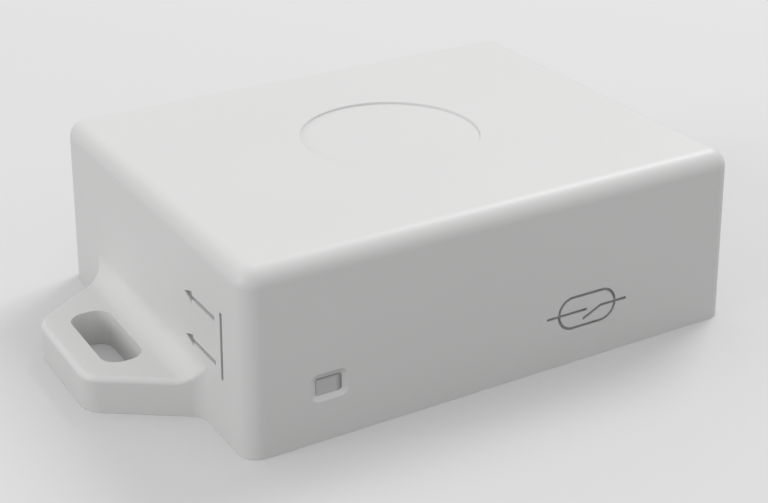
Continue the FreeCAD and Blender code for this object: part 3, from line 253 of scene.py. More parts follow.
def grain_group():
    """Fine height grain and a slow change of tone, as moulded plastic has."""
    group, entry, leave = new_group(
        "moulded_grain", {"Vector": None, "Scale": 3000.0, "Colour": (0.8, 0.8, 0.8, 1),
                          "Mottle": 0.03, "Roughness": 0.45}, ("Height", "Colour", "Roughness"))
    place = entry.outputs["Vector"]
    group.links.new(noise(group, place, entry.outputs["Scale"], 2), leave.inputs["Height"])
    centred = math_node(group, "SUBTRACT", noise(group, place, 60, 3), 0.5)
    swing = math_node(group, "MULTIPLY_ADD", centred, entry.outputs["Mottle"], 1)
    tone = group.nodes.new("ShaderNodeVectorMath")
    tone.operation = "SCALE"
    link(group, entry, "Colour", tone, 0)
    group.links.new(swing, tone.inputs["Scale"])
    link(group, tone, 0, leave, "Colour")
    rough = math_node(group, "MULTIPLY", entry.outputs["Roughness"], swing)
    group.links.new(rough, leave.inputs["Roughness"])
    return group


def brushed_group():
    """Long fine scratches along one direction, as drawn or turned metal has."""
    group, entry, leave = new_group(
        "brushed_lines", {"Vector": None, "Stretch": (200.0, 9000.0, 9000.0), "Roughness": 0.3},
        ("Height", "Roughness"))
    stretch = group.nodes.new("ShaderNodeVectorMath")
    stretch.operation = "MULTIPLY"
    link(group, entry, "Vector", stretch, 0)
    link(group, entry, "Stretch", stretch, 1)
    lines = noise(group, stretch.outputs[0], 1, 3)
    group.links.new(lines, leave.inputs["Height"])
    swing = group.nodes.new("ShaderNodeMapRange")
    swing.inputs["To Min"].default_value = 0.8
    swing.inputs["To Max"].default_value = 1.25
    group.links.new(lines, swing.inputs["Value"])
    rough = math_node(group, "MULTIPLY", entry.outputs["Roughness"], swing.outputs[0])
    group.links.new(rough, leave.inputs["Roughness"])
    return group


def painted_groove_shade_group():
    """Paints shade on the floors of the engraved marks, found by how far they lie behind the leaning
    walls.
    """
    group, entry, leave = new_group("mark_floors", {"Vector": None}, ["Mask"])
    x, y, z = separate(group, entry.outputs["Vector"])
    shallow, full, past = 0.00004, 0.00025, 0.0008

    def floor(across, wall, lean, along, limits, levels):
        """The painted shade in one wall, more where the floor lies deeper: its foot and lean, and the
        reach of the marks on it.
        """
        behind = math_node(group, "MULTIPLY_ADD", z, -lean, math_node(group, "ADD", across, wall))
        deep = math_node(group, "MULTIPLY", ramp(group, behind, shallow, full),
                         math_node(group, "LESS_THAN", behind, past))
        place = math_node(group, "MULTIPLY", within(group, along, *limits),
                          within(group, z, *levels))
        return math_node(group, "MULTIPLY", deep, place)

    symbol = floor(y, 0.0241, 0.0291, x, (0.0044, 0.0168), (0.0035, 0.0086))
    arrows = floor(x, 0.0304, 0.0202, y, (-0.0195, -0.0093), (0.0062, 0.0147))
    # The arrow shafts get half as much painted shade as the rest of the marks.
    shafts, paler = (-0.0173, -0.0119), -0.5
    lighter = math_node(group, "MULTIPLY_ADD", within(group, y, *shafts), paler, 1)
    arrows = math_node(group, "MULTIPLY", arrows, lighter)
    group.links.new(math_node(group, "MAXIMUM", symbol, arrows), leave.inputs["Mask"])
    return group


def tracks_group():
    """Thin raised tracks in staggered runs, broken up so that no two places look alike."""
    group, entry, leave = new_group("board_tracks", {"Vector": None, "Scale": 700.0}, ["Mask"])
    masks = []
    for width, height, turn in ((3.5, 0.6, 0), (5.0, 0.9, 90)):
        place = group.nodes.new("ShaderNodeMapping")
        place.inputs["Rotation"].default_value = (0, 0, math.radians(turn))
        link(group, entry, "Vector", place, "Vector")
        bricks = group.nodes.new("ShaderNodeTexBrick")
        bricks.inputs["Mortar Size"].default_value = 0.09
        bricks.inputs["Mortar Smooth"].default_value = 0.1
        bricks.inputs["Brick Width"].default_value = width
        bricks.inputs["Row Height"].default_value = height
        link(group, place, "Vector", bricks, "Vector")
        link(group, entry, "Scale", bricks, "Scale")
        masks.append(bricks.outputs["Fac"])
    broad = noise(group, entry.outputs["Vector"], 220, 2)
    first = math_node(group, "GREATER_THAN", broad, 0.54)
    second = math_node(group, "LESS_THAN", broad, 0.44)
    kept = math_node(group, "MAXIMUM", math_node(group, "MULTIPLY", masks[0], first),
                     math_node(group, "MULTIPLY", masks[1], second))
    group.links.new(kept, leave.inputs["Mask"])
    return group


EFFECTS = {"moulded_grain": grain_group, "brushed_lines": brushed_group,
           "mark_floors": painted_groove_shade_group, "board_tracks": tracks_group}


def add_effect(tree, name, place, **values):
    """Places a shared effect in a material, at a place and with the material's own values."""
    node = tree.nodes.new("ShaderNodeGroup")
    node.node_tree = bpy.data.node_groups.get(name) or EFFECTS[name]()
    link(tree, place, "Object", node, "Vector")
    for label, value in values.items():
        node.inputs[label].default_value = value
    return node


# Materials

def new_material(name):
    material = bpy.data.materials.new(name)
    material.use_nodes = True
    return material, material.node_tree, material.node_tree.nodes["Principled BSDF"]


def add_bump(tree, shader, height, depth):
    bump = tree.nodes.new("ShaderNodeBump")
    bump.inputs["Distance"].default_value = depth
    bump.inputs["Strength"].default_value = 1
    tree.links.new(height, bump.inputs["Height"])
    link(tree, bump, "Normal", shader, "Normal")


def plastic(name, tint, roughness, grain=0.00015, height=0.000004, mottle=0.03, coat=0.0,
            shade=None):
    """Moulded plastic: grain in the surface and a slight change of tone.

    A shade function gives a mask, and the colour where the mask is 1: painted shade on the housing's
    marks and on the light guide's rim, a pale band on the sleeve."""
    material, tree, shader = new_material(name)
    place = tree.nodes.new("ShaderNodeTexCoord")
    effect = add_effect(tree, "moulded_grain", place, Scale=1 / grain, Colour=(*tint, 1),
                        Mottle=mottle, Roughness=roughness)
    tone = effect.outputs["Colour"]
    if shade:
        mask, other = shade(tree, place)
        tone = blend_colours(tree, mask, tone, other)
    tree.links.new(tone, shader.inputs["Base Color"])
    link(tree, effect, "Roughness", shader, "Roughness")
    shader.inputs["Coat Weight"].default_value = coat
    add_bump(tree, shader, effect.outputs["Height"], height)
    return material


def metal(name, tint, roughness, stretch):
    """Metal with drawn or turned lines along the direction that is stretched least."""
    material, tree, shader = new_material(name)
    place = tree.nodes.new("ShaderNodeTexCoord")
    effect = add_effect(tree, "brushed_lines", place, Stretch=stretch, Roughness=roughness)
    link(tree, effect, "Roughness", shader, "Roughness")
    shader.inputs["Base Color"].default_value = (*tint, 1)
    shader.inputs["Metallic"].default_value = 1
    add_bump(tree, shader, effect.outputs["Height"], 0.000001)
    return material


def darkened(tint, amount):
    return [part * (1 - amount) for part in tint]


def housing_finish():
    """White moulding with painted shade on the floors of its engraved marks."""
    look = bpy.context.scene.tag_plastics

    def shade(tree, place):
        floors = add_effect(tree, "mark_floors", place)
        return floors.outputs["Mask"], darkened(look.housing, look.mark_shade)

    return plastic("white_moulding", look.housing, look.roughness, look.grain, shade=shade)


def guide_finish():
    """Frosted light guide with painted shade along its rim where it runs back into the wall,
    strongest at the right and top, weaker at the left.
    """
    look = bpy.context.scene.tag_plastics
    low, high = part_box("light_guide")
    middle, reach = (low + high) / 2, (high - low) / 2
    # Where the painted rim shade begins and is full, as parts of the way from the middle to the edge.
    right_rim, left_rim, top_rim = (0.40, 0.80), (0.62, 0.86), (0.40, 0.74)
    left_strength = 0.6

    def shade(tree, place):
        x, y, z = separate(tree, place.outputs["Object"])
        across = math_node(tree, "SUBTRACT", x, middle.x)
        up = math_node(tree, "SUBTRACT", z, middle.z)
        right = ramp(tree, across, *(reach.x * part for part in right_rim))
        left = ramp(tree, math_node(tree, "MULTIPLY", across, -1),
                    *(reach.x * part for part in left_rim))
        top = ramp(tree, up, *(reach.z * part for part in top_rim))
        rim = math_node(tree, "MAXIMUM", math_node(tree, "MAXIMUM", right, top),
                        math_node(tree, "MULTIPLY", left, left_strength))
        return rim, darkened(look.guide, look.guide_shade)

    return plastic("frosted_guide", look.guide, 0.3, look.grain, height=0.000002, coat=0.3,
                   shade=shade)


def board_finish(name, mask, track):
    """Circuit board: tracks under a glossy mask, and the pale core at its cut edges."""
    look = bpy.context.scene.tag_board
    mask, track = getattr(look, mask), getattr(look, track)
    material, tree, shader = new_material(name)
    place = tree.nodes.new("ShaderNodeTexCoord")
    tracks = add_effect(tree, "board_tracks", place, Scale=1 / look.track_pitch)
    weave = add_effect(tree, "moulded_grain", place, Scale=2500.0, Colour=(*look.core, 1),
                       Mottle=0.2, Roughness=0.34)
    upward = math_node(tree, "ABSOLUTE", separate(tree, place.outputs["Normal"])[2])
    cut = math_node(tree, "LESS_THAN", upward, 0.5)
    face = blend_colours(tree, tracks.outputs["Mask"], mask, track)
    tree.links.new(blend_colours(tree, cut, face, weave.outputs["Colour"]),
                   shader.inputs["Base Color"])
    tree.links.new(weave.outputs["Roughness"], shader.inputs["Roughness"])
    add_bump(tree, shader, tracks.outputs["Mask"], 0.00002)
    return material


def foam_finish():
    """Closed-cell foam: dark, matt and finely pitted, with painted shade in its pits."""
    look = bpy.context.scene.tag_plastics
    material, tree, shader = new_material("closed_cell_foam")
    place = tree.nodes.new("ShaderNodeTexCoord")
    cells = tree.nodes.new("ShaderNodeTexVoronoi")
    cells.inputs["Scale"].default_value = 3500
    link(tree, place, "Object", cells, "Vector")
    pits = ramp(tree, cells.outputs["Distance"], 0.1, 0.6)
    # The pits' hollows are painted darker: painted shade where the bump sinks them.
    tone = blend_colours(tree, pits, darkened(look.foam, 0.5), look.foam)
    tree.links.new(tone, shader.inputs["Base Color"])
    shader.inputs["Roughness"].default_value = 0.95
    shader.inputs["Specular IOR Level"].default_value = 0.15
    add_bump(tree, shader, pits, 0.00006)
    return material


def sleeve_finish():
    """Shrunk-on sleeve: glossy film with a pale band, that clings in slow ripples."""
    look = bpy.context.scene.tag_plastics
    band_left, band_right, lift = 0.0105, 0.0128, 0.55

    def shade(tree, place):
        x = separate(tree, place.outputs["Object"])[0]
        pale = [min(1, part + lift) for part in look.sleeve]
        return within(tree, x, band_left, band_right), pale

    return plastic("shrunk_sleeve", look.sleeve, 0.22, 1 / 400, height=0.00003, mottle=0.25,
                   coat=0.5, shade=shade)


def glass_finish():
    """Clear greenish glass of the reed switch."""
    look = bpy.context.scene.tag_plastics
    material = plastic("capsule_glass", look.glass, 0.03, 1 / 900, height=0.000001, mottle=0.05)
    shader = material.node_tree.nodes["Principled BSDF"]
    shader.inputs["Transmission Weight"].default_value = 1
    shader.inputs["IOR"].default_value = 1.5
    return material


# The group and name of each plastic's colour, its roughness, and what else sets it apart.
PLASTICS = {
    "soft_rubber": ("tag_plastics", "rubber", 0.75, {"height": 0.00001, "mottle": 0.3}),
    "black_moulding": ("tag_plastics", "button", 0.5, {}),
    "chip_moulding": ("tag_plastics", "chip", 0.6, {"height": 0.000006, "mottle": 0.2}),
    "washer_paper": ("tag_plastics", "paper", 0.85,
                     {"grain": 0.0002, "height": 0.00001, "mottle": 0.15}),
    "fired_ceramic": ("tag_board", "ceramic", 0.55, {"mottle": 0.2}),
    "amber_moulding": ("tag_board", "reservoir", 0.4, {}),
    "dark_ferrite": ("tag_board", "ferrite", 0.7, {"mottle": 0.3}),
    "pale_diode": ("tag_board", "diode", 0.3, {"coat": 0.4}),
    "white_ceramic": ("tag_board", "antenna", 0.35, {"mottle": 0.08}),
}
EVEN = (9000.0, 9000.0, 9000.0)
# The name of each metal's colour, its roughness, and how its lines are stretched.
METALS = {
    "plated_steel": ("steel", 0.28, EVEN),
    "drawn_steel": ("steel", 0.26, (250.0, 6000.0, 6000.0)),
    "tinned_sheet": ("tinned", 0.32, (6000.0, 6000.0, 400.0)),
    "turned_brass": ("brass", 0.3, (4000.0, 4000.0, 9000.0)),
    "plated_gold": ("gold", 0.22, EVEN),
    "bright_solder": ("solder", 0.2, (1500.0, 1500.0, 1500.0)),
}
BOARDS = {"green_board": ("mask", "track"), "blue_board": ("module", "module_track")}
OTHERS = {"white_moulding": housing_finish, "frosted_guide": guide_finish,
          "closed_cell_foam": foam_finish, "shrunk_sleeve": sleeve_finish,
          "capsule_glass": glass_finish}


def finish(name):
    """Finds a finish by its name, making it the first time."""
    scene = bpy.context.scene
    if name in bpy.data.materials:
        return bpy.data.materials[name]
    if name in PLASTICS:
        group, tint, roughness, options = PLASTICS[name]
        return plastic(name, getattr(getattr(scene, group), tint), roughness, **options)
    if name in METALS:
        tint, roughness, stretch = METALS[name]
        return metal(name, getattr(scene.tag_metals, tint), roughness, stretch)
    if name in BOARDS:
        return board_finish(name, *BOARDS[name])
    return OTHERS[name]()


# Making pieces

def clear_selection():
    bpy.ops.object.select_all(action="DESELECT")


def take(piece):
    """Selects one piece alone and makes it the active one."""
    clear_selection()
    piece.select_set(True)
    bpy.context.view_layer.objects.active = piece


def open_edit(piece):
    """Opens one piece for editing with all of it selected."""
    take(piece)
    bpy.ops.object.mode_set(mode="EDIT")
    bpy.ops.mesh.select_all(action="SELECT")


def close_edit():
    bpy.ops.object.mode_set(mode="OBJECT")


def coat(piece, name):
    """Gives a piece its one finish."""
    piece.data.materials.clear()
    piece.data.materials.append(finish(name))


def paint(piece, name, test):
    """Gives a further finish to the faces whose centre passes a test."""
    piece.data.materials.append(finish(name))
    for face in piece.data.polygons:
        if test(face.center):
            face.material_index = len(piece.data.materials) - 1


def settle(piece, body, slot, *nodes):
    """Rides a finished piece on its body, in the place of its CAD nodes."""
    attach(piece, body)
    if nodes:
        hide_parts(*nodes)


def apply_modifiers(piece):
    take(piece)
    for modifier in list(piece.modifiers):
        bpy.ops.object.modifier_apply(modifier=modifier.name)


def smooth(piece, angle=32):
    """Shades a piece smooth up to an angle, with its large faces kept flat."""
    take(piece)
    bpy.ops.object.shade_smooth_by_angle(angle=math.radians(angle))
    weights = piece.modifiers.new("weights", "WEIGHTED_NORMAL")
    weights.keep_sharp = True
    apply_modifiers(piece)


def smooth_copy(node, name, angle=25):
    """Copies a CAD node, merges its loose triangles and shades it smooth up to an angle."""
    source = frame["nodes"][node]
    piece = source.copy()
    piece.data = source.data.copy()
    piece.name = piece.data.name = name
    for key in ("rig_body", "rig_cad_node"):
        piece.pop(key, None)
    piece.parent = None
    bpy.context.scene.collection.objects.link(piece)
    take(piece)
    bpy.ops.mesh.customdata_custom_splitnormals_clear()
    open_edit(piece)
    bpy.ops.mesh.remove_doubles(threshold=0.000002)
    close_edit()
    smooth(piece, angle)
    return piece


def dress(node, body, slot, look, edge=0, name=None, shape=None, second=None):
    """Copies a CAD node, rounds its edges, gives it a finish and rides it on a body.

    A shape function works on the copy first. A second finish comes with its faces' test."""
    piece = smooth_copy(node, "tag_" + (name or node))
    if shape:
        shape(piece)
    if edge:
        round_edges(piece, edge)
    coat(piece, look)
    if second:
        paint(piece, *second)
    settle(piece, body, slot, node)


def round_edges(piece, width, segments=2):
    """Takes the sharpness off the edges of a piece."""
    bevel = piece.modifiers.new("edges", "BEVEL")
    bevel.width = width
    bevel.segments = segments
    bevel.limit_method = "ANGLE"
    bevel.angle_limit = math.radians(50)
    apply_modifiers(piece)
    smooth(piece)


def cut_through(piece, *cuts):
    """Adds edges where each plane, given by a point and its normal, meets a piece."""
    open_edit(piece)
    for place, normal in cuts:
        bpy.ops.mesh.select_all(action="SELECT")
        bpy.ops.mesh.bisect(plane_co=place, plane_no=normal)
    close_edit()


def planes(axis, *places):
    """Planes square to the X or Y axis, at some places along it."""
    normal = Vector((axis == "X", axis == "Y", 0))
    return [(normal * place, normal) for place in places]


def pick_faces(piece, test):
    """Opens a piece for editing with those faces selected that pass a test."""
    open_edit(piece)
    bpy.ops.mesh.select_mode(type="FACE")
    bpy.ops.mesh.select_all(action="DESELECT")
    close_edit()
    for face in piece.data.polygons:
        face.select = test(face)
    bpy.ops.object.mode_set(mode="EDIT")


def turned(name, profile, sides=48, ring=False):
    """Draws a round piece upwards ring by ring from its radii and heights.

    A ring ends where it began and has a hole; any other piece is closed at both ends."""
    clear_selection()
    radius, height = profile[0]
    bpy.ops.mesh.primitive_circle_add(vertices=sides, radius=radius, location=(0, 0, height),
                                      fill_type="NOTHING" if ring else "NGON")
    piece = bpy.context.object
    piece.name = piece.data.name = name
    bpy.ops.object.transform_apply()
    open_edit(piece)
    bpy.ops.mesh.select_mode(type="EDGE" if ring else "FACE")
    bpy.ops.mesh.select_all(action="SELECT")
    for (before, low), (after, high) in zip(profile, profile[1:]):
        bpy.ops.mesh.extrude_region_move(TRANSFORM_OT_translate={"value": (0, 0, high - low)})
        grow = after / before
        bpy.ops.transform.resize(value=(grow, grow, 1), center_override=(0, 0, high))
    bpy.ops.mesh.select_all(action="SELECT")
    bpy.ops.mesh.remove_doubles(threshold=0.000001)
    bpy.ops.mesh.normals_make_consistent(inside=False)
    close_edit()
    smooth(piece)
    return piece


def lay_along_x(piece, node):
    """Lays an upright piece down along X, with its foot at a CAD node's left end."""
    low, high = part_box(node)
    take(piece)
    piece.rotation_euler = (0, math.pi / 2, 0)
    piece.location = (low.x, (low.y + high.y) / 2, (low.z + high.z) / 2)
    bpy.ops.object.transform_apply()


def repeat(piece, places):
    """Puts a copy of a piece at each place and joins the copies into one piece."""
    name = piece.name
    copies = []
    for place in places:
        copy = piece.copy()
        copy.data = piece.data.copy()
        copy.location = place
        bpy.context.scene.collection.objects.link(copy)
        copies.append(copy)
    bpy.data.objects.remove(piece)
    take(copies[0])
    for copy in copies:
        copy.select_set(True)
    bpy.ops.object.transform_apply()
    bpy.ops.object.join()
    copies[0].name = copies[0].data.name = name
    return copies[0]


def join(first, *others):
    take(first)
    for piece in others:
        piece.select_set(True)
    bpy.ops.object.join()


def capped(node, look, slot, cap, edge=0.00005):
    """Dresses small blocks whose two ends are tinned.

    Ends are paired from left to right, so the tin of two blocks that overlap in X is askew."""
    piece = smooth_copy(node, "tag_" + node)
    faces = [face for face in piece.data.polygons if abs(face.normal.x) > 0.9]
    ends = sorted({round(face.center.x, 6) for face in faces})
    blocks = list(zip(ends[::2], ends[1::2]))
    for left, right in blocks:
        cut_through(piece, *planes("X", left + cap, right - cap))
    coat(piece, look)
    paint(piece, "bright_solder", lambda centre: any(
        left - 0.00001 < centre.x < left + cap or right - cap < centre.x < right + 0.00001
        for left, right in blocks))
    round_edges(piece, edge)
    settle(piece, "housing", slot, node)


def sink_socket(piece, height, radius, depth):
    """Sinks a hexagon socket upwards into the middle of a head."""
    clear_selection()
    bpy.ops.mesh.primitive_cylinder_add(vertices=6, radius=radius, depth=2 * depth,
                                        location=(0, 0, height))
    cutter = bpy.context.object
    cut = piece.modifiers.new("socket", "BOOLEAN")
    cut.object = cutter
    cut.solver = "EXACT"
    apply_modifiers(piece)
    bpy.data.objects.remove(cutter)
    smooth(piece)


def wind_thread(piece, core, outside, pitch, low, high, steps):
    """Winds a ridge round a shank and joins it to the screw."""
    clear_selection()
    reach = (outside - core) * 0.8
    bpy.ops.mesh.primitive_circle_add(vertices=3, radius=reach, fill_type="NOTHING",
                                      location=(outside - reach, 0, low),
                                      rotation=(math.pi / 2, math.pi / 2, 0))
    ridge = bpy.context.object
    bpy.ops.object.transform_apply()
    turn = ridge.modifiers.new("thread", "SCREW")
    turn.axis = "Z"
    turn.screw_offset = pitch
    turn.iterations = int((high - low) / pitch)
    turn.steps = turn.render_steps = steps
    apply_modifiers(ridge)
    open_edit(ridge)
    bpy.ops.mesh.fill_holes(sides=0)
    bpy.ops.mesh.select_all(action="SELECT")
    bpy.ops.mesh.normals_make_consistent(inside=False)
    close_edit()
    smooth(ridge)
    join(piece, ridge)


# Operators

class TAG_OT_housing(bpy.types.Operator):
    """Dress the moulded housing and its light guide"""
    bl_idname = "tag.housing"
    bl_label = "Housing"

    def execute(self, context):
        dress("housing_shell", "housing", "housing", "white_moulding", name="housing")
        dress("light_guide", "housing", "light_guide", "frosted_guide")
        return {"FINISHED"}


class TAG_OT_cover(bpy.types.Operator):
    """Make the screwed cover, its seal and the foam pad"""
    bl_idname = "tag.cover"
    bl_label = "Cover"

    def execute(self, context):
        dress("bottom_cover", "cover", "housing", "white_moulding", name="cover")
        dress("cover_gasket", "cover", "gasket", "soft_rubber", 0.0001, "gasket")
        self.add_pad()
        return {"FINISHED"}

    def add_pad(self):
        """Cuts a block into a grid, lowers its outer squares a little and softens it."""
        low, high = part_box("foam_pad")
        size, middle = high - low, (low + high) / 2
        clear_selection()
        bpy.ops.mesh.primitive_cube_add(size=1, location=middle, scale=size)
        pad = bpy.context.object
        pad.name = pad.data.name = "tag_foam_pad"
        bpy.ops.object.transform_apply()
        columns, rows, sag = 12, 6, 0.00008
        cuts = planes("X", *(low.x + size.x * step / columns for step in range(1, columns)))
        cuts += planes("Y", *(low.y + size.y * step / rows for step in range(1, rows)))
        cut_through(pad, *cuts)

        def is_outer(face):
            place = face.center - middle
            return face.normal.z > 0.9 and not (abs(place.x) < size.x * 0.42
                                                and abs(place.y) < size.y * 0.3)

        pick_faces(pad, is_outer)
        bpy.ops.transform.translate(value=(0, 0, -sag))
        close_edit()
        round_edges(pad, 0.00018, 3)
        surface = pad.modifiers.new("surface", "SUBSURF")
        surface.levels = surface.render_levels = 1
        apply_modifiers(pad)
        smooth(pad, 60)
        coat(pad, "closed_cell_foam")
        settle(pad, "cover", "foam", "foam_pad")


class TAG_OT_fasteners(bpy.types.Operator):
    """Make the cover screws, the board screws and the thread inserts"""
    bl_idname = "tag.fasteners"
    bl_label = "Screws and inserts"

    def execute(self, context):
        look = context.scene.tag_screws
        low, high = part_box("cover_screws")
        head, core, lip = look.cover_head, look.cover_core, low.z + 0.00012
        self.add_screws("cover_screws", "cover", [
            (head * 0.96, low.z), (head, low.z + 0.00005), (head, lip), (core, lip + head - core),
            (core, high.z - 0.0004), (core * 0.6, high.z)], (look.cover_socket, 0.0012),
            (core, look.cover_thread, look.cover_pitch, low.z + 0.0017, high.z - 0.0004))
        low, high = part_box("board_screws")
        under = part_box("circuit_board")[0].z
        head, core = look.board_head, look.board_core
        self.add_screws("board_screws", "housing", [
            (head * 0.72, low.z), (head * 0.9, low.z + 0.00008), (head * 0.98, low.z + 0.00026),
            (head, low.z + 0.0005), (head, under), (core, under), (core, high.z - 0.0005),
            (core * 0.4, high.z)], (look.board_socket, 0.00057),
            (core, look.board_thread, look.board_pitch, under + 0.0003, high.z - 0.0005))
        dress("thread_inserts", "housing", "insert_brass", "turned_brass")
        return {"FINISHED"}

    def add_screws(self, node, body, profile, socket, thread):
        """Makes one screw from its profile and puts a copy at each corner of its group."""
        low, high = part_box(node)
        head = max(radius for radius, height in profile)
        screw = turned("tag_" + node, profile)
        sink_socket(screw, low.z, *socket)
        wind_thread(screw, *thread, bpy.context.scene.tag_screws.steps)
        screw = repeat(screw, [(x, y, 0) for x in (low.x + head, high.x - head)
                               for y in (low.y + head, high.y - head)])
        coat(screw, "plated_steel")
        settle(screw, body, "screw_steel", node)


class TAG_OT_cell(bpy.types.Operator):
    """Make the lithium cell with its sleeve, button and washer"""
    bl_idname = "tag.cell"
    bl_label = "Cell"

    def execute(self, context):
        low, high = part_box("cell_sleeve")
        radius, long = (high.z - low.z) / 2, high.x - low.x
        lip = radius - 0.0014
        film = 0.00012
        sleeve = turned("tag_cell_sleeve", [
            (lip, 0.00002), (lip + 0.0008, 0), (radius - 0.0003, 0.00006),
            (radius - 0.0001, 0.0002), (radius, 0.0005),
            (radius, long - 0.0005), (radius - 0.0001, long - 0.0002),
            (radius - 0.0003, long - 0.00006), (lip + 0.0008, long), (lip, long - 0.00002),
            (lip, long - film), (radius - film - 0.0004, long - film),
            (radius - film, long - 0.0006), (radius - film, 0.0006),
            (radius - film - 0.0004, film), (lip, film), (lip, 0.00002)], 96, ring=True)
        lay_along_x(sleeve, "cell_sleeve")
        coat(sleeve, "shrunk_sleeve")
        settle(sleeve, "battery", "cell_sleeve", "cell_sleeve")
        dress("cell_can", "battery", "cell_steel", "drawn_steel")
        dress("cell_washer", "battery", "washer", "washer_paper")
        low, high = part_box("cell_button")
        radius, tall = (high.z - low.z) / 2, high.x - low.x
        button = turned("tag_cell_button", [
            (radius, 0), (radius, tall - 0.00035), (radius - 0.0001, tall - 0.00012),
            (radius - 0.00035, tall), (radius * 0.55, tall), (radius * 0.5, tall - 0.00005)], 64)
        lay_along_x(button, "cell_button")
        coat(button, "drawn_steel")
        settle(button, "battery", "cell_steel", "cell_button")
        return {"FINISHED"}


class TAG_OT_contacts(bpy.types.Operator):
    """Dress the two contacts that hold the cell"""
    bl_idname = "tag.contacts"
    bl_label = "Cell contacts"

    def execute(self, context):
        for node in ("positive_contact", "negative_contact"):
            dress(node, "housing", "contact_metal", "tinned_sheet", 0.00005)
        return {"FINISHED"}


class TAG_OT_board(bpy.types.Operator):
    """Dress the circuit board and make its solder joints and test pads"""
    bl_idname = "tag.board"
    bl_label = "Circuit board"

    def execute(self, context):
        dress("circuit_board", "housing", "board", "green_board")
        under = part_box("circuit_board")[0].z
        joint = turned("tag_solder_joints", [
            (0.00022, under - 0.00062), (0.00030, under - 0.00058), (0.00036, under - 0.00042),
            (0.00048, under - 0.00020), (0.00066, under - 0.00006), (0.00070, under)], 20)
        joint = repeat(joint, self.pins())
        coat(joint, "bright_solder")
        settle(joint, "housing", "contact_metal")
        dress("test_pads", "housing", "pin_gold", "plated_gold")
        return {"FINISHED"}

    def pins(self):
        """Where wires and pins come through the board."""
        left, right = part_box("reed_fixed_lead"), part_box("reed_outer_lead")
        wire = 0.00025
        places = [(left[0].x + wire, (left[0].y + left[1].y) / 2, 0),
                  (right[1].x - wire, (right[0].y + right[1].y) / 2, 0)]
        low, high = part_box("header_pins")
        columns, pitch, half_pin = 5, 0.00127, 0.0002
        for column in range(columns):
            x = low.x + half_pin + column * pitch
            places += [(x, low.y + half_pin, 0), (x, high.y - half_pin, 0)]
        low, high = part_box("cell_can")
        middle = (low.y + high.y) / 2
        foot, apart = 0.0012, 0.0018
        for x in (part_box("negative_contact")[0].x + foot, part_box("positive_contact")[1].x - foot):
            places += [(x, middle - apart, 0), (x, middle + apart, 0)]
        return places


class TAG_OT_reed(bpy.types.Operator):
    """Dress the reed switch: glass, leads and blade"""
    bl_idname = "tag.reed"
    bl_label = "Reed switch"

    def execute(self, context):
        dress("reed_glass", "housing", "reed_glass", "capsule_glass")
        for node in ("reed_fixed_lead", "reed_outer_lead"):
            dress(node, "housing", "contact_metal", "tinned_sheet")
        dress("reed_moving_blade", "reed_blade", "contact_metal", "plated_gold")
        return {"FINISHED"}


class TAG_OT_button(bpy.types.Operator):
    """Make the pairing button with its metal body and moving cap"""
    bl_idname = "tag.button"
    bl_label = "Pairing button"

    def execute(self, context):
        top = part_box("button_body")[1].z
        dress("button_body", "housing", "contact_metal", "tinned_sheet", 0.00008,
              second=("black_moulding", lambda centre: centre.z > top - 0.0003))
        low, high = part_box("button_cap")
        radius = (high.x - low.x) / 2
        cap = turned("tag_button_cap", [
            (radius * 0.7, low.z + 0.00004), (radius * 0.82, low.z),
            (radius * 0.92, low.z + 0.00003), (radius, low.z + 0.00012), (radius, high.z)], 48)
        cap = repeat(cap, [((low.x + high.x) / 2, (low.y + high.y) / 2, 0)])
        coat(cap, "black_moulding")
        settle(cap, "button", "button_plastic", "button_cap")
        return {"FINISHED"}


class TAG_OT_radio(bpy.types.Operator):
    """Make the radio module: board, shielding can, chip and antenna"""
    bl_idname = "tag.radio"
    bl_label = "Radio module"

    def execute(self, context):
        low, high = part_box("radio_board")
        inset, pitch, blank = 0.0005, 0.0009, 0.003
        left, right = low.x + inset, high.x - inset
        cuts = planes("Y", *(low.y + pitch * step for step in range(1, 17)))
        cuts += planes("X", left, right)

        def on_pad(centre):
            return (not left < centre.x < right and centre.y > low.y + blank
                    and int((centre.y - low.y) / pitch) % 2 == 1)

        dress("radio_board", "housing", "module_board", "blue_board",
              shape=lambda board: cut_through(board, *cuts), second=("plated_gold", on_pad))
        dress("radio_shield", "housing", "shield", "tinned_sheet", 0.00008, shape=self.emboss)
        dress("radio_chip", "housing", "chip_black", "chip_moulding", 0.00006)
        capped("chip_antenna", "white_ceramic", "antenna", 0.0008, 0.00006)
        return {"FINISHED"}

    def emboss(self, can):
        """Presses a shallow panel into the top of the can."""
        low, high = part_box("radio_shield")
        rim = 0.0009
        left, right = low.x + rim, high.x - rim
        front, back = low.y + rim, high.y - rim
        cut_through(can, *planes("X", left, right), *planes("Y", front, back))
        pick_faces(can, lambda face: (
            face.normal.z > 0.99 and face.center.z > high.z - 0.00001
            and left < face.center.x < right and front < face.center.y < back))
        bpy.ops.mesh.inset(thickness=0.0001, depth=-0.00005)
        close_edit()


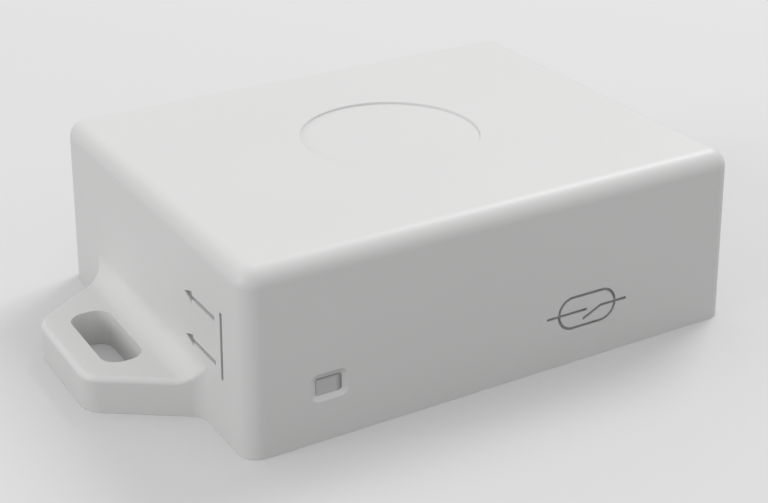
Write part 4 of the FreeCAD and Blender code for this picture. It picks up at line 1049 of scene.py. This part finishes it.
class TAG_OT_chips(bpy.types.Operator):
    """Make the parts on the board: chips, coil, capacitors, resistors, crystal and diode"""
    bl_idname = "tag.chips"
    bl_label = "Parts on the board"

    def execute(self, context):
        self.legged_chip("memory_chip", 0.0039)
        self.legged_chip("voltage_regulator", 0.0016)
        dress("motion_sensor", "housing", "chip_black", "chip_moulding", 0.00006)
        dress("crystal", "housing", "shield", "tinned_sheet", 0.0001)
        self.coil()
        capped("chip_capacitors", "fired_ceramic", "ceramic", 0.00036)
        capped("chip_resistors", "chip_moulding", "chip_black", 0.0003)
        capped("reservoir_capacitor", "amber_moulding", "reservoir", 0.0006)
        dress("status_diode", "housing", "diode", "pale_diode", 0.00006)
        return {"FINISHED"}

    def legged_chip(self, node, depth):
        """A moulded body of some depth on flat tinned legs."""
        low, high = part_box(node)
        middle = (low.y + high.y) / 2
        dress(node, "housing", "chip_black", "chip_moulding", 0.00005, second=(
            "tinned_sheet", lambda centre: (abs(centre.y - middle) > depth / 2 + 0.00002
                                            or centre.z < low.z + 0.00004)))

    def coil(self):
        """A ferrite block with a round drum in its top."""
        block = smooth_copy("power_coil", "tag_power_coil")
        low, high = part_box("power_coil")
        round_edges(block, 0.00008)
        radius = (high.x - low.x) / 2 * 0.72
        drum = turned("coil_drum", [
            (radius, high.z - 0.0004), (radius, high.z - 0.00003), (radius - 0.00005, high.z),
            (radius * 0.35, high.z), (radius * 0.3, high.z - 0.00004)], 48)
        drum = repeat(drum, [((low.x + high.x) / 2, (low.y + high.y) / 2, 0.00003)])
        join(block, drum)
        coat(block, "dark_ferrite")
        settle(block, "housing", "coil", "power_coil")


class TAG_OT_header(bpy.types.Operator):
    """Make the service header and its pins"""
    bl_idname = "tag.header"
    bl_label = "Service header"

    def execute(self, context):
        dress("header_body", "housing", "button_plastic", "black_moulding", 0.00006)
        dress("header_pins", "housing", "pin_gold", "plated_gold", 0.0001)
        return {"FINISHED"}


class TAG_OT_stage(bpy.types.Operator):
    """Set up the floor, the lights and the camera"""
    bl_idname = "tag.stage"
    bl_label = "Studio"

    def execute(self, context):
        look = context.scene.tag_studio
        gap = 0.00002
        clear_selection()
        bpy.ops.mesh.primitive_plane_add(size=look.floor_size, location=(0, 0, -gap))
        floor = context.object
        floor.name = "studio_floor"
        self.open_floor(floor)
        floor.data.materials.append(self.floor_material(look))
        self.add_light("key_light", look.key_place, look.key_size, look.key_power)
        self.add_light("top_light", look.top_place, look.top_size, look.top_power)
        world = bpy.data.worlds.new("studio_sky")
        context.scene.world = world
        world.use_nodes = True
        sky = world.node_tree.nodes["Background"]
        sky.inputs["Color"].default_value = (1, 1, 1, 1)
        sky.inputs["Strength"].default_value = look.sky
        self.add_camera(context, look)
        context.scene.view_settings.view_transform = "Standard"
        return {"FINISHED"}

    def open_floor(self, floor):
        """Leaves the floor open under the box and its lug, so that the cover can come down."""
        rim = 0.001
        low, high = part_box("bottom_cover")
        left, right, front, back = low.x - rim, high.x + rim, low.y - rim, high.y + rim
        # The lug's half widths at its end and at the wall, and how far it reaches.
        end, root, reach = 0.007, 0.014, 0.01015
        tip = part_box("housing_shell")[0].x
        edge = rim / 2
        sides = []
        for turn in (-1, 1):
            outward = Vector((end - root, turn * reach, 0)).normalized()
            sides.append((Vector((tip, turn * end, 0)) - edge * outward, outward))
        # The slot keeps its floor, and the box's round corners keep theirs.
        slot, across, along = tip + 0.0052, 0.00245, 0.00625
        corner = 0.0015
        corners = [(Vector((x * (right - corner), y * back, 0)), Vector((x, y, 0)).normalized())
                   for x in (-1, 1) for y in (-1, 1)]
        across_cuts = (left, right, tip + edge, slot - across, slot + across)
        cut_through(floor, *sides, *corners, *planes("X", *across_cuts),
                    *planes("Y", front, back, -along, along))

        def is_open(place):
            if left < place.x < right:
                return (front < place.y < back
                        and abs(place.x) + abs(place.y) < right + back - corner)
            by_slot = abs(place.x - slot) < across and abs(place.y) < along
            on_lug = all((place - point).dot(outward) < 0 for point, outward in sides)
            return tip + edge < place.x < left and on_lug and not by_slot

        pick_faces(floor, lambda face: is_open(face.center))
        bpy.ops.mesh.delete(type="ONLY_FACE")
        close_edit()

    def floor_material(self, look):
        """A floor that the camera and reflections see pale, and that throws little light back.

        From below it is clear, so that the cover's underside can be looked at."""
        material, tree, shader = new_material("studio_floor")
        shader.inputs["Roughness"].default_value = 0.9
        shader.inputs["Specular IOR Level"].default_value = 0.2
        rays = tree.nodes.new("ShaderNodeLightPath").outputs
        seen = math_node(tree, "MAXIMUM", rays["Is Camera Ray"], rays["Is Glossy Ray"])
        seen = math_node(tree, "MAXIMUM", seen, rays["Is Transmission Ray"])
        tree.links.new(blend_colours(tree, seen, look.floor_bounce, look.floor),
                       shader.inputs["Base Color"])
        behind = tree.nodes.new("ShaderNodeNewGeometry").outputs["Backfacing"]
        tree.links.new(math_node(tree, "SUBTRACT", 1, behind), shader.inputs["Alpha"])
        return material

    def add_light(self, name, place, size, power):
        light = bpy.data.lights.new(name, "AREA")
        light.energy = power
        light.size = size
        lamp = bpy.data.objects.new(name, light)
        bpy.context.scene.collection.objects.link(lamp)
        lamp.location = place
        lamp.rotation_euler = Vector(place).to_track_quat("Z", "Y").to_euler()

    def add_camera(self, context, look):
        lens = bpy.data.cameras.new("photo_camera")
        lens.lens = look.lens
        lens.sensor_width = 36
        lens.clip_start = 0.01
        camera = bpy.data.objects.new("photo_camera", lens)
        context.scene.collection.objects.link(camera)
        camera.location = look.camera_place
        camera.rotation_euler = look.camera_turn
        context.scene.camera = camera


class TAG_PT_panel(bpy.types.Panel):
    """Lists the pieces that can be made"""
    bl_idname = "TAG_PT_panel"
    bl_label = "Wireless tag"
    bl_space_type = "VIEW_3D"
    bl_region_type = "UI"
    bl_category = "Tag"

    def draw(self, context):
        for operator in OPERATORS:
            self.layout.operator(operator.bl_idname)


GROUPS = {"tag_plastics": TagPlastics, "tag_metals": TagMetals, "tag_board": TagBoard,
          "tag_screws": TagScrews, "tag_studio": TagStudio}
OPERATORS = (TAG_OT_housing, TAG_OT_cover, TAG_OT_fasteners, TAG_OT_cell, TAG_OT_contacts,
             TAG_OT_board, TAG_OT_reed, TAG_OT_button, TAG_OT_radio, TAG_OT_chips, TAG_OT_header,
             TAG_OT_stage)
CLASSES = (*GROUPS.values(), *OPERATORS, TAG_PT_panel)


def register():
    for made in CLASSES:
        bpy.utils.register_class(made)
    for name, group in GROUPS.items():
        setattr(bpy.types.Scene, name, PointerProperty(type=group))


def unregister():
    for name in GROUPS:
        delattr(bpy.types.Scene, name)
    for made in reversed(CLASSES):
        bpy.utils.unregister_class(made)


def main():
    register()
    for operator in OPERATORS:
        category, name = operator.bl_idname.split(".")
        getattr(getattr(bpy.ops, category), name)()


if __name__ == "__main__":
    main()
